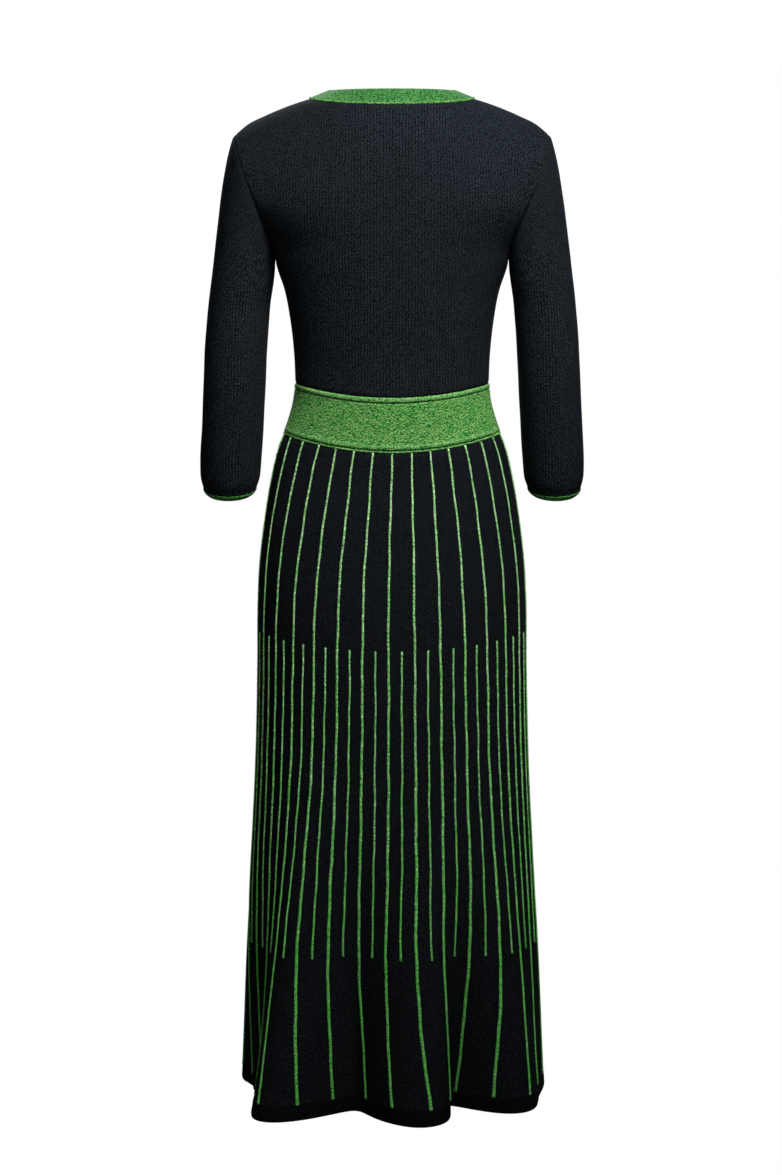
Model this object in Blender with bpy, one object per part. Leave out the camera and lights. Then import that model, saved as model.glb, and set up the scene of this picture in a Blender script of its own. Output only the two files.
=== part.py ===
"""A knit dress in its worn form: ribbed A-line skirt, close bodice, three-quarter sleeves, contrast bands.

Metres, +Z up. The front of the dress faces -Y, its back faces +Y, and the wearer's left is at +X. The origin lies midway
between the two high points of the shoulders. Each piece of knit is one closed wall, cut and sewn as its own solid.
"""

import math
from collections import namedtuple

import bmesh
import bpy
import numpy as np

DRESS = "knit_dress"
MM = 0.001
WALL = 1.5 * MM
SEAM_GAP = 0.3 * MM
BACK, FRONT = 1, -1

# The two knits: base colour and roughness.
Knit = namedtuple("Knit", "name colour roughness")
BLACK = Knit("black_knit", (0.010, 0.011, 0.015, 1.0), 0.85)
GREEN = Knit("green_knit", (0.075, 0.250, 0.062, 1.0), 0.80)

# The body of the dress, level by level: half its width, how far the back and the front stand from the middle plane, how much
# lower the level runs at the centre back than at the sides, and how round its outline is (1 for an ellipse, less is squarer).
Level = namedtuple("Level", "z half_width back front dip round")
BODY = (
    Level(-0.184, 0.1345, 0.0880, 0.1120, 0.000, 0.80),
    Level(-0.197, 0.1298, 0.0870, 0.1130, 0.001, 0.81),
    Level(-0.222, 0.1234, 0.0845, 0.1125, 0.003, 0.84),
    Level(-0.250, 0.1182, 0.0810, 0.1060, 0.006, 0.88),
    Level(-0.278, 0.1148, 0.0770, 0.0970, 0.009, 0.93),
    Level(-0.305, 0.1127, 0.0745, 0.0910, 0.012, 0.97),
    Level(-0.326, 0.1120, 0.0735, 0.0880, 0.0135, 1.00),
    Level(-0.347, 0.1143, 0.0740, 0.0880, 0.0155, 1.00),
    Level(-0.375, 0.1222, 0.0760, 0.0890, 0.0180, 1.00),
    Level(-0.402, 0.1322, 0.0810, 0.0925, 0.0190, 1.00),
    Level(-0.430, 0.1390, 0.0880, 0.0970, 0.0190, 1.00),
    Level(-0.458, 0.1442, 0.0960, 0.1020, 0.0185, 1.00),
    Level(-0.486, 0.1484, 0.1030, 0.1065, 0.0175, 1.00),
    Level(-0.533, 0.1538, 0.1140, 0.1130, 0.0155, 1.00),
    Level(-0.580, 0.1561, 0.1220, 0.1180, 0.0135, 1.00),
    Level(-0.650, 0.1567, 0.1275, 0.1230, 0.0105, 1.00),
    Level(-0.768, 0.1596, 0.1330, 0.1300, 0.0045, 1.00),
    Level(-0.887, 0.1657, 0.1390, 0.1380, -0.002, 1.00),
    Level(-1.006, 0.1726, 0.1470, 0.1470, -0.005, 1.00),
    Level(-1.127, 0.1782, 0.1570, 0.1570, -0.001, 1.00),
    Level(-1.154, 0.1797, 0.1595, 0.1595, 0.000, 1.00),
)

# The armhole edge of each bodice panel, from the underarm to the shoulder tip. Up to the chest row the panel's centre is
# given too; above it the panel runs on to the shoulder seam and the neckline.
Armhole = namedtuple("Armhole", "z back_x back_y front_x front_y back_centre front_centre round")
ARMHOLE = (
    Armhole(-0.1840, 0.1345, 0.0000, 0.1345, 0.0000, 0.0880, 0.1120, 0.80),
    Armhole(-0.1750, 0.1356, 0.0200, 0.1350, 0.0210, 0.0885, 0.1110, 0.82),
    Armhole(-0.1640, 0.1384, 0.0320, 0.1370, 0.0340, 0.0890, 0.1090, 0.85),
    Armhole(-0.1490, 0.1445, 0.0415, 0.1415, 0.0445, 0.0897, 0.1060, 0.90),
    Armhole(-0.1270, 0.1542, 0.0475, 0.1500, 0.0520, 0.0900, 0.1000, 1.00),
    Armhole(-0.1050, 0.1628, 0.0470, 0.1590, 0.0515, 0.0, 0.0, 1.0),
    Armhole(-0.0860, 0.1698, 0.0420, 0.1670, 0.0455, 0.0, 0.0, 1.0),
    Armhole(-0.0685, 0.1752, 0.0330, 0.1735, 0.0350, 0.0, 0.0, 1.0),
    Armhole(-0.0550, 0.1787, 0.0215, 0.1780, 0.0220, 0.0, 0.0, 1.0),
    Armhole(-0.0470, 0.1805, 0.0105, 0.1803, 0.0105, 0.0, 0.0, 1.0),
    Armhole(-0.0430, 0.1815, 0.0000, 0.1815, 0.0000, 0.0, 0.0, 1.0),
)
CHEST_ROW = 4

# Each bodice panel has this many steps of its grid from the centre to the side.
HALF_STEPS = 12

# The shoulder seam, from the neckband out to the shoulder tip.
Shoulder = namedtuple("Shoulder", "x z")
SHOULDER = (
    Shoulder(0.0935, -0.0010),
    Shoulder(0.1110, -0.0070),
    Shoulder(0.1285, -0.0134),
    Shoulder(0.1460, -0.0204),
    Shoulder(0.1640, -0.0290),
    Shoulder(0.1815, -0.0430),
)

# The neckband's two edges at the side, the centre back and the centre front.
Neck = namedtuple("Neck", "half_width side_z back_y back_z front_y front_z")
NECK_SEAM = Neck(0.0935, -0.0010, 0.0620, -0.0095, 0.0670, -0.0720)
NECK_RIM = Neck(0.0700, 0.0082, 0.0450, 0.0085, 0.0530, -0.0500)
NECK_STEPS = 7

# The sleeve below the armhole: its middle, half its width and depth, and how far its level tips down at the back.
Sleeve = namedtuple("Sleeve", "z x y half_width half_depth tip_degrees")
SLEEVE = (
    Sleeve(-0.2350, 0.1758, 0.0000, 0.0357, 0.0450, 0.0),
    Sleeve(-0.2776, 0.1792, 0.0020, 0.0360, 0.0430, 0.0),
    Sleeve(-0.3330, 0.1820, 0.0010, 0.0361, 0.0410, 3.0),
    Sleeve(-0.3750, 0.1845, -0.0040, 0.0359, 0.0400, 7.0),
    Sleeve(-0.4130, 0.1872, -0.0105, 0.0357, 0.0388, 11.0),
    Sleeve(-0.4500, 0.1889, -0.0183, 0.0341, 0.0375, 13.5),
)
CAP_STEPS = (0.0, 0.07, 0.17, 0.31, 0.50, 0.74)
CUFF_DEPTH = 5.0 * MM

BAND_TOP, BAND_BOTTOM = -0.3274, -0.3854
SHORT_RIB_TOP, SHORT_RIB_FOOT, LONG_RIB_FOOT, HEM = -0.6133, -0.9770, -1.1365, -1.1540

# The skirt has a long rib at every whole step round each half and a short one midway; the side seams take the last midway
# places, so each half holds fifteen long ribs and fourteen short ones.
RIB_STEPS = 15
RIB_HEIGHT, RIB_FOOT_WIDTH, RIB_END, RIB_DRIFT = 1.2 * MM, 4.4 * MM, 3.0 * MM, 4.0 * MM

# Soft folds that open toward the hem: bearing from the centre back (positive toward the wearer's left), how far each pushes
# the hem out, its half-width, and the height it starts from.
Fold = namedtuple("Fold", "bearing out half_angle top")
FOLDS = (
    Fold(84, -0.014, 9, -0.90),
    Fold(68, -0.013, 9, -0.86),
    Fold(40, 0.062, 15, -0.72),
    Fold(20, -0.036, 11, -0.80),
    Fold(-10, 0.042, 14, -0.72),
    Fold(-32, -0.054, 7.5, -0.90),
    Fold(-49, 0.033, 16, -0.74),
    Fold(122, 0.022, 16, -0.78),
    Fold(150, -0.012, 12, -0.84),
    Fold(176, 0.026, 17, -0.76),
    Fold(-157, -0.014, 11, -0.84),
    Fold(-130, 0.024, 16, -0.78),
)

Rise = namedtuple("Rise", "down height")
BAND_ROLL = (Rise(0.0, 0.3), Rise(1.0, 1.1), Rise(3.1, 1.4), Rise(5.2, 1.1), Rise(6.4, 0.1))


def eased(rows, name, z):
    """One column of a table of levels at height z, eased from row to row."""
    heights = np.array([row.z for row in rows])[::-1]
    values = np.array([getattr(row, name) for row in rows])[::-1]
    slopes = np.gradient(values, heights)
    low = np.clip(np.searchsorted(heights, z) - 1, 0, len(heights) - 2)
    step = heights[low + 1] - heights[low]
    t = (z - heights[low]) / step
    return (
        (2 * t**3 - 3 * t**2 + 1) * values[low]
        + (t**3 - 2 * t**2 + t) * step * slopes[low]
        + (3 * t**2 - 2 * t**3) * values[low + 1]
        + (t**3 - t**2) * step * slopes[low + 1]
    )


def curve_between(start, end, leaving, arriving, t):
    """Points on the smooth curve from start to end, given how it leaves and arrives."""
    t = np.asarray(t)[..., None]
    return (
        (2 * t**3 - 3 * t**2 + 1) * start
        + (t**3 - 2 * t**2 + t) * leaving
        + (3 * t**2 - 2 * t**3) * end
        + (t**3 - t**2) * arriving
    )


def unit(vectors):
    """Each vector at length one; a vector of no length stays as it is."""
    length = np.linalg.norm(vectors, axis=-1, keepdims=True)
    return vectors / np.where(length > 1e-12, length, 1.0)


def fold_out(bearing, z):
    """How far the folds push the skirt out at these bearings, in degrees, and heights."""
    out = np.zeros_like(bearing)
    for fold in FOLDS:
        apart = (bearing - fold.bearing + 180.0) % 360.0 - 180.0
        opened = np.clip((fold.top - z) / (fold.top - HEM), 0.0, 1.2)
        out = out + fold.out * opened**1.5 * np.exp(-((apart / fold.half_angle) ** 2))
    return out


def flattened(angle, power):
    """The cosine, raised to a power below one where an outline is squarer than an ellipse."""
    return np.maximum(np.cos(angle), 0.0) ** power


def body_points(side, along, z, drift=0.0, by_angle=False):
    """Points round one half of the body.

    Args:
        side: BACK or FRONT.
        along: places from -1 at the wearer's right side seam to 1 at the left one, at even lengths of knit.
        z: the level, at the side seam.
        drift: how far the places inside the half slip toward the wearer's left.
        by_angle: whether the places are spaced by angle instead.
    """
    half_width, depth = eased(BODY, "half_width", z), eased(BODY, "back" if side == BACK else "front", z)
    power, dip = eased(BODY, "round", z), eased(BODY, "dip", z) if side == BACK else 0.0

    def outline(angle):
        x, y = half_width * np.sin(angle), side * depth * flattened(angle, power)
        pushed = 1 + fold_out(np.degrees(np.arctan2(x, y)), z) / np.hypot(x, y)
        return np.stack([x * pushed, y * pushed, z - dip * np.cos(angle) ** 2], -1)

    along = np.asarray(along, float)
    if by_angle:
        return outline(along * math.pi / 2)
    angles = np.radians(np.linspace(-90.0, 90.0, 361))
    run = np.concatenate([[0.0], np.cumsum(np.linalg.norm(np.diff(outline(angles), axis=0), axis=1))])
    slipped = along + 2 * drift / run[-1] * (1 - along**2)
    return outline(np.interp((slipped + 1) / 2 * run[-1], run, angles))


class Panel:
    """One piece of knit: a grid of points over its face, rows then columns, with the way out at each point.

    Its cut keeps the points as they were before any edge was drawn in.
    """

    def __init__(self, name, points, wraps=False):
        self.name, self.points, self.wraps = name, np.array(points, float), wraps
        self.cut = self.points.copy()
        wide = np.concatenate([self.points[:, -1:], self.points, self.points[:, :1]], 1) if wraps else self.points
        across, along = np.gradient(wide, axis=1), np.gradient(wide, axis=0)
        out = unit(np.cross(across, along))
        self.out = out[:, 1:-1] if wraps else out
        middle = self.points.mean(1, keepdims=True) if wraps else np.array([0.0, 0.0, 1.0]) * self.points
        if (self.out * (self.points - middle)).sum() < 0:
            self.out = -self.out

    def edge(self, which, first=0, last=None):
        """Indexes of an edge and of the points one step in from it."""
        rows, columns = self.points.shape[:2]
        count = rows if which in ("left", "right") else columns
        run = np.arange(count)[first : (count if last is None else last)]
        at = {"left": 0, "right": columns - 1, "bottom": 0, "top": rows - 1}[which]
        beside = at + (1 if at == 0 else -1)
        if which in ("left", "right"):
            return (run, np.full_like(run, at)), (run, np.full_like(run, beside))
        return (np.full_like(run, at), run), (np.full_like(run, beside), run)

    def hold_back(self, which):
        """Draws an edge in by half a seam gap."""
        at, beside = self.edge(which)
        inward = unit(self.points[beside] - self.points[at])
        self.points[at] += inward * SEAM_GAP / 2


def sew(one, edge_one, other, edge_other):
    """Sets two panels' edges, which share their points, half a seam gap apart with their cut faces parallel."""
    (at_a, in_a), (at_b, in_b) = edge_one, edge_other
    points_a, points_b = one.cut[at_a], other.cut[at_b]
    inward_a, inward_b = unit(one.cut[in_a] - points_a), unit(other.cut[in_b] - points_b)
    out_a, out_b = one.out[at_a], other.out[at_b]
    tangent = unit(np.gradient(points_a, axis=0))
    apart = (inward_a - inward_b) - (out_a - out_b)
    apart = unit(apart - (apart * tangent).sum(-1, keepdims=True) * tangent)
    alike = np.clip((out_a * out_b).sum(-1, keepdims=True) / 0.5, 0.0, 1.0)
    one.points[at_a] += apart * SEAM_GAP / 2
    other.points[at_b] -= apart * SEAM_GAP / 2
    one.out[at_a] = unit(out_a + alike * out_b)
    other.out[at_b] = unit(out_b + alike * out_a)


def zipped(first, second, points):
    """Triangles between two lines of points that run the same way but may hold different numbers of points."""

    def reach(line):
        steps = np.linalg.norm(np.diff(points[line], axis=0), axis=1)
        return np.concatenate([[0.0], np.cumsum(steps)]) / steps.sum()

    reach_first, reach_second, i, j, faces = reach(first), reach(second), 0, 0, []
    while i < len(first) - 1 or j < len(second) - 1:
        if j == len(second) - 1 or (i < len(first) - 1 and reach_first[i + 1] <= reach_second[j + 1]):
            faces.append((first[i], first[i + 1], second[j]))
            i += 1
        else:
            faces.append((first[i], second[j + 1], second[j]))
            j += 1
    return faces


def sheet_faces(index, wraps):
    """Two triangles for each cell of a grid of point numbers."""
    after = np.roll(index, -1, 1) if wraps else index[:, 1:]
    index = index if wraps else index[:, :-1]
    a, b, c, d = (grid.ravel() for grid in (index[:-1], after[:-1], after[1:], index[1:]))
    return [*zip(a.tolist(), b.tolist(), c.tolist()), *zip(a.tolist(), c.tolist(), d.tolist())]


def material_of(knit):
    """The material of a knit, made the first time it is asked for."""
    material = bpy.data.materials.get(knit.name)
    if material is None:
        material = bpy.data.materials.new(knit.name)
        material.use_nodes = True
        surface = material.node_tree.nodes["Principled BSDF"]
        surface.inputs["Base Color"].default_value = knit.colour
        surface.inputs["Roughness"].default_value = knit.roughness
        surface.inputs["Metallic"].default_value = 0.0
    return material


def add_wall(name, knit, outer, inner, wraps=False):
    """Adds the closed solid between an outer and an inner grid of points, in one of the two knits."""
    points = np.concatenate([outer.reshape(-1, 3), inner.reshape(-1, 3)])
    outside = np.arange(outer.shape[0] * outer.shape[1]).reshape(outer.shape[:2])
    inside = np.arange(inner.shape[0] * inner.shape[1]).reshape(inner.shape[:2]) + outside.size
    faces = sheet_faces(outside, wraps) + sheet_faces(inside, wraps)
    borders = [(outside[0], inside[0]), (outside[-1], inside[-1])]
    if wraps:
        borders = [(np.append(a, a[0]), np.append(b, b[0])) for a, b in borders]
    else:
        borders += [(outside[:, 0], inside[:, 0]), (outside[:, -1], inside[:, -1])]
    for a, b in borders:
        faces += zipped(a, b, points)
    mesh = bpy.data.meshes.new(name)
    mesh.from_pydata(points.tolist(), [], [tuple(int(i) for i in face) for face in faces])
    shell = bmesh.new()
    shell.from_mesh(mesh)
    bmesh.ops.recalc_face_normals(shell, faces=shell.faces)
    shell.to_mesh(mesh)
    shell.free()
    mesh.shade_smooth()
    mesh.set_sharp_from_angle(angle=math.radians(50.0))
    mesh.materials.append(material_of(knit))
    bpy.data.collections[DRESS].objects.link(bpy.data.objects.new(name, mesh))


def add_panel(panel, knit, rise=0.0):
    """Adds a panel's solid: its points raised by rise outside, and the plain wall behind them."""
    raised = panel.points + panel.out * np.asarray(rise)[..., None]
    add_wall(panel.name, knit, raised, panel.points - panel.out * WALL, panel.wraps)


def neck_edge(neck, side):
    """The points of one edge of the neckband round half the neck, from the wearer's right to the left."""
    turn = np.radians(np.linspace(-90.0, 90.0, 2 * NECK_STEPS + 1))
    y, z = (neck.back_y, neck.back_z) if side == BACK else (neck.front_y, neck.front_z)
    outward, lowered = flattened(turn, 1.0 if side == BACK else 0.75), flattened(turn, 1.15 if side == BACK else 1.35)
    return np.stack([neck.half_width * np.sin(turn), side * y * outward, neck.side_z + (z - neck.side_z) * lowered], -1)


def neck_ring(neck):
    """The points of one edge of the neckband all round the neck, back half first."""
    return np.concatenate([neck_edge(neck, BACK), neck_edge(neck, FRONT)[-2:0:-1]])


def armhole_points(side):
    """The armhole edge on the wearer's left, from the underarm to the shoulder tip."""
    if side == BACK:
        return np.array([(row.back_x, row.back_y, row.z) for row in ARMHOLE])
    return np.array([(row.front_x, -row.front_y, row.z) for row in ARMHOLE])


def relaxed(rows, passes):
    """Rows of points eased along their length, with their ends held, and let out again so that they don't draw in."""
    for _ in range(passes):
        for strength in (0.5, -0.51):
            middle = (rows[:, :-2] + rows[:, 2:]) / 2
            rows[:, 1:-1] += strength * (middle - rows[:, 1:-1])
    return rows


def bodice(name, side):
    """A bodice panel, from the waistband up to the shoulder seams and the neckline."""
    half, places = HALF_STEPS, np.arange(-HALF_STEPS, HALF_STEPS + 1)
    rows = [body_points(side, places / half, z, by_angle=True) for z in (BAND_TOP, -0.298, -0.262, -0.225)]
    edge = armhole_points(side)
    for number, (x, y, z) in enumerate(edge[: CHEST_ROW + 1]):
        centre = ARMHOLE[number].back_centre if side == BACK else ARMHOLE[number].front_centre
        power, share = ARMHOLE[number].round, number / CHEST_ROW
        widest = math.acos((abs(y) / centre) ** (1 / power))
        around = np.arcsin(np.sin(places / half * math.pi / 2) * math.sin(widest))
        angle = (1 - share) * around + share * places / half * widest
        across = x * np.sin(angle) / math.sin(widest)
        rows.append(np.stack([across, side * centre * flattened(angle, power), np.full(angle.shape, z)], -1))
        rows[-1][[0, -1]] = (x, y, z) * np.array([(-1, 1, 1), (1, 1, 1)])
    chest = rows[-1]
    top = np.zeros_like(chest)
    top[half - NECK_STEPS : half + NECK_STEPS + 1] = neck_edge(NECK_SEAM, side)
    for step, seam in enumerate(SHOULDER):
        top[half + NECK_STEPS + step] = (seam.x, 0.0, seam.z)
        top[half - NECK_STEPS - step] = (-seam.x, 0.0, seam.z)
    rim = neck_edge(NECK_RIM, side)
    toward_neck = np.zeros_like(chest)
    toward_neck[half - NECK_STEPS : half + NECK_STEPS + 1] = unit(rim - neck_edge(NECK_SEAM, side))
    rise = top - chest
    leaving = np.stack([rise[:, 0], (0.0 if side == BACK else 0.22) * rise[:, 2], 1.15 * rise[:, 2]], -1)
    over = np.stack([rise[:, 0], 1.9 * rise[:, 1], 0.02 * rise[:, 2]], -1)
    share = np.clip(np.abs(places) / NECK_STEPS, 0.0, 1.0)[:, None] ** 1.2
    arriving = share * over + (1 - share) * toward_neck * np.linalg.norm(rise, axis=1)[:, None]
    run = np.concatenate([[0.0], np.cumsum(np.linalg.norm(np.diff(edge[CHEST_ROW:], axis=0), axis=1))])
    for number, reached in enumerate(run[1:] / run[-1], CHEST_ROW + 1):
        row = curve_between(chest, top, leaving, arriving, np.full(len(places), reached))
        row[-1], row[0] = edge[number], edge[number] * (-1, 1, 1)
        rows.append(row)
    rows = np.array(rows)
    rows[CHEST_ROW + 5 : -1] = relaxed(rows[CHEST_ROW + 5 : -1], 12)
    return Panel(name, rows)


def sleeve_ring(z, turn, grow=0.0):
    """One level of the left sleeve: turn runs from the underarm (0) past the back to the outside (180 degrees) and on."""
    x, y, half_width, half_depth, tip = (eased(SLEEVE, name, z) for name in Sleeve._fields[1:])
    side, back = -(half_width + grow) * np.cos(turn), (half_depth + grow) * np.sin(turn)
    slope = math.tan(math.radians(float(tip)))
    return np.stack([x + side, y + back, z - slope * back], -1)


def sleeve_rows():
    """The left sleeve's rows of points, from the armhole to the cuff."""
    count = len(ARMHOLE) - 1
    hole = np.concatenate([armhole_points(BACK), armhole_points(FRONT)[-2:0:-1]])
    turn = np.arange(2 * count) / count * math.pi
    ring = sleeve_ring(SLEEVE[0].z, turn)
    outside = (1 - np.cos(turn)) / 2
    drop = np.linalg.norm(ring - hole, axis=1)
    leaving = np.stack([0.24 * outside * drop, 0.25 * (ring - hole)[:, 1], -(1.0 - 0.35 * outside) * drop], -1)
    arriving = np.stack([0.12 * drop, 0.5 * (ring - hole)[:, 1], -0.95 * drop], -1)
    rows = [curve_between(hole, ring, leaving, arriving, np.full(len(turn), step)) for step in CAP_STEPS]
    return np.array(rows + [sleeve_ring(row.z, turn) for row in SLEEVE])


def cuff_rows():
    """The left cuff trim's rows of points, carried on down the sleeve."""
    count = len(ARMHOLE) - 1
    turn = np.arange(2 * count) / count * math.pi
    last = SLEEVE[-1]
    ring = sleeve_ring(last.z, turn)
    down = np.array([0.03, -math.sin(math.radians(last.tip_degrees)), -math.cos(math.radians(last.tip_degrees))])
    return np.array([ring + down * CUFF_DEPTH * share for share in (0.0, 0.2, 0.5, 0.8, 1.0)])


def mirrored(points):
    """The same points on the wearer's other side."""
    return points * (-1, 1, 1)


def waistband(name, side):
    """A waistband panel's outer face and its inner rows: a rolled edge at the top and at the bottom of a plain band."""
    depth = (BAND_TOP - BAND_BOTTOM) / MM
    rolls = [(row.down, row.height) for row in BAND_ROLL]
    rows = rolls + [(depth / 2, 0.0)] + [(depth - 1.0 - down, height) for down, height in rolls[::-1]] + [(depth, 0.2)]
    places = np.linspace(-1.0, 1.0, 25)
    face = Panel(name, [body_points(side, places, BAND_TOP - down * MM) for down, _ in rows])
    rise = np.array([height * MM for _, height in rows])[:, None] * np.ones(len(places))
    return face, rise


def rib_places():
    """Places round half the skirt for the three points of each rib, with each rib's kind: long, or short."""
    ribs = np.arange(-RIB_STEPS + 1, RIB_STEPS) / RIB_STEPS
    return ribs, np.arange(-RIB_STEPS + 1, RIB_STEPS) % 2 == 0


def drift_at(side, z):
    """How far the ribs slip toward the wearer's left on the back, from nothing at the waist to a little over the hips."""
    return side * RIB_DRIFT * float(np.clip((BAND_BOTTOM - z) / 0.16, 0.0, 1.0))


def skirt_row(side, z, ribbed):
    """One level of a skirt half's outer face, with three points to each rib, or its plain inner face."""
    if not ribbed:
        return body_points(side, np.linspace(-1.0, 1.0, 46), z, drift_at(side, z))
    foot = RIB_FOOT_WIDTH / (2.6 * eased(BODY, "half_width", z))
    ribs, _ = rib_places()
    places = np.concatenate([[-1.0], (ribs[:, None] + np.array([-foot, 0.0, foot])).ravel(), [1.0]])
    return body_points(side, places, z, drift_at(side, z))


def skirt(name, side):
    """A skirt half: its outer face, the rise of its ribs, and its plain inner face."""
    hips, thighs, flare = (-0.412, -0.445, -0.490, -0.550), (-0.700, -0.790, -0.870, -0.930), (-1.035, -1.085)
    inner_levels = (BAND_BOTTOM, *hips, SHORT_RIB_TOP, *thighs, SHORT_RIB_FOOT, *flare, -1.125, HEM)
    rib_ends = (SHORT_RIB_TOP, SHORT_RIB_TOP - RIB_END, SHORT_RIB_FOOT + RIB_END, SHORT_RIB_FOOT)
    levels = sorted((BAND_BOTTOM, *hips, *thighs, *flare, *rib_ends, LONG_RIB_FOOT + RIB_END, LONG_RIB_FOOT, HEM), reverse=True)
    outer = Panel(name, [skirt_row(side, z, True) for z in levels])
    _, long = rib_places()
    z = np.array(levels)[:, None]
    short_there = (z < SHORT_RIB_TOP) & (z > SHORT_RIB_FOOT)
    long_there = z > LONG_RIB_FOOT
    rise = np.zeros(outer.points.shape[:2])
    rise[:, 2:-1:3] = np.where(long, long_there, short_there) * RIB_HEIGHT
    inner = Panel(name, [skirt_row(side, level, False) for level in inner_levels])
    return outer, rise, inner


def main():
    """Cuts every piece, sews the shared seams and adds the solids."""
    for old in list(bpy.data.objects):
        bpy.data.objects.remove(old)
    if DRESS not in bpy.data.collections:
        bpy.context.scene.collection.children.link(bpy.data.collections.new(DRESS))

    back, front = bodice("bodice_back", BACK), bodice("bodice_front", FRONT)
    left, right = Panel("sleeve_left", sleeve_rows(), True), Panel("sleeve_right", mirrored(sleeve_rows()), True)
    underarm, count = 4, len(ARMHOLE) - 1
    for sleeve, which in ((left, "right"), (right, "left")):
        rows, columns = np.zeros(count + 1, int), np.arange(count + 1)
        sew(back, back.edge(which, underarm), sleeve, ((rows, columns), (rows + 1, columns)))
        columns = np.arange(2 * count, count - 1, -1) % (2 * count)
        sew(front, front.edge(which, underarm), sleeve, ((rows, columns), (rows + 1, columns)))

    seam, rim = neck_ring(NECK_SEAM), neck_ring(NECK_RIM)
    shares = np.array([0.0, 0.06, 0.15, 0.24, 0.60, 0.92, 1.0])
    neckband = Panel("neckband", [seam + (rim - seam) * share for share in shares], True)
    wide = 2 * NECK_STEPS
    low, high = np.zeros(wide + 1, int), np.arange(wide + 1)
    first = HALF_STEPS - NECK_STEPS
    sew(back, back.edge("top", first, first + wide + 1), neckband, ((low, high), (low + 1, high)))
    high = np.arange(2 * wide, wide - 1, -1) % (2 * wide)
    sew(front, front.edge("top", first, first + wide + 1), neckband, ((low, high), (low + 1, high)))

    for which in ("left", "right"):
        sew(back, back.edge(which, 0, underarm + 1), front, front.edge(which, 0, underarm + 1))
    steps = len(SHOULDER)
    sew(back, back.edge("top", 0, steps), front, front.edge("top", 0, steps))
    sew(back, back.edge("top", -steps), front, front.edge("top", -steps))

    for panel in (back, front):
        panel.hold_back("bottom")
        add_panel(panel, BLACK)
    for sleeve in (left, right):
        sleeve.hold_back("top")
        add_panel(sleeve, BLACK)
    bead = np.array([0.0, 0.9, 1.0, 0.1, 0.0, 0.3, 0.0])[:, None] * MM * np.ones(2 * wide)
    add_panel(neckband, GREEN, bead)

    for name, rows in (("cuff_trim_left", cuff_rows()), ("cuff_trim_right", mirrored(cuff_rows()))):
        trim = Panel(name, rows, True)
        trim.hold_back("bottom")
        add_panel(trim, GREEN, np.array([0.1, 0.8, 1.1, 0.8, 0.1])[:, None] * MM * np.ones(2 * count))

    bands = [waistband("waistband_back", BACK), waistband("waistband_front", FRONT)]
    for which in ("left", "right"):
        sew(bands[0][0], bands[0][0].edge(which), bands[1][0], bands[1][0].edge(which))
    for face, rise in bands:
        face.hold_back("bottom")
        face.hold_back("top")
        plain = [0, len(face.points) // 2, len(face.points) - 1]
        add_wall(face.name, GREEN, face.points + face.out * rise[..., None], (face.points - face.out * WALL)[plain])

    halves = [skirt("skirt_back", BACK), skirt("skirt_front", FRONT)]
    for which in ("left", "right"):
        for layer in (0, 2):
            sew(halves[0][layer], halves[0][layer].edge(which), halves[1][layer], halves[1][layer].edge(which))
    for outer, rise, inner in halves:
        outer.hold_back("bottom")
        inner.hold_back("bottom")
        add_wall(outer.name, BLACK, outer.points + outer.out * rise[..., None], inner.points - inner.out * WALL)


main()
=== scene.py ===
"""Metres, +Z up. The front faces -Y, the back faces +Y, the wearer's left is at +X, and the origin lies midway
between the high points of the shoulders. Every panel is a thin sheet of knit that keeps its solid's shape, at
a finer grain.
"""

import logging
import math
from dataclasses import dataclass, replace
from enum import Enum

import bpy
import numpy as np
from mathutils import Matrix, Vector

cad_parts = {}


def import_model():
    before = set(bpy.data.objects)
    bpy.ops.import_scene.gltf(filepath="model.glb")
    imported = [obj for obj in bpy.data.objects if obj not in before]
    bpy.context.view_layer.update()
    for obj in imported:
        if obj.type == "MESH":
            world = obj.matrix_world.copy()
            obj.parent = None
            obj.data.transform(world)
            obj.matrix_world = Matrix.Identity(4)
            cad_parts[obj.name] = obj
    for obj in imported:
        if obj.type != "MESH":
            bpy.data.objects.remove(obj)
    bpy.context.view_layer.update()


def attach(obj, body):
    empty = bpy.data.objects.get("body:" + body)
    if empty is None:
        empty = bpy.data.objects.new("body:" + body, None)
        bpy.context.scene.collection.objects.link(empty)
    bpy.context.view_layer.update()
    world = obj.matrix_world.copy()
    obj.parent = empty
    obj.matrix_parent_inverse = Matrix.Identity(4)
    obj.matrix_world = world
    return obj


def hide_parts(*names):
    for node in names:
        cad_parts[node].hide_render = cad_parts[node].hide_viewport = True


LOG = logging.getLogger("knit_dress")
MM = 0.001
BODY = "root"
KNIT_MAP = "knit"

Colour = tuple[float, float, float]


class Side(Enum):
    """The half of the dress that a panel belongs to, and the way it faces along Y."""

    BACK = 1
    FRONT = -1


class Hand(Enum):
    """The wearer's side that a piece is on, and where that lies along X."""

    LEFT = 1
    RIGHT = -1


class Edge(Enum):
    """The edges of a sheet's grid."""

    FIRST_ROW = 0
    LAST_ROW = 1
    FIRST_COLUMN = 2
    LAST_COLUMN = 3


# ---- The worn form ----


@dataclass(frozen=True)
class Level:
    """One level of the dress: half its width, its depths, its dip at the centre back and its roundness."""

    z: float
    half_width: float
    back: float
    front: float
    dip: float
    round: float = 1.0


@dataclass(frozen=True)
class Armhole:
    """One place on the armhole edges of the back and front bodice, with the panels' centres there."""

    z: float
    back_x: float
    back_y: float
    front_x: float
    front_y: float
    back_centre: float = 0.0
    front_centre: float = 0.0
    round: float = 1.0


@dataclass(frozen=True)
class Neck:
    """One edge of the neckband: where it lies at its sides, back and front, and how it rounds and drops."""

    half_width: float
    side_z: float
    back_y: float
    back_z: float
    front_y: float
    front_z: float
    back_round: float = 1.0
    back_drop: float = 1.15
    front_round: float = 0.75
    front_drop: float = 1.35


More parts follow.
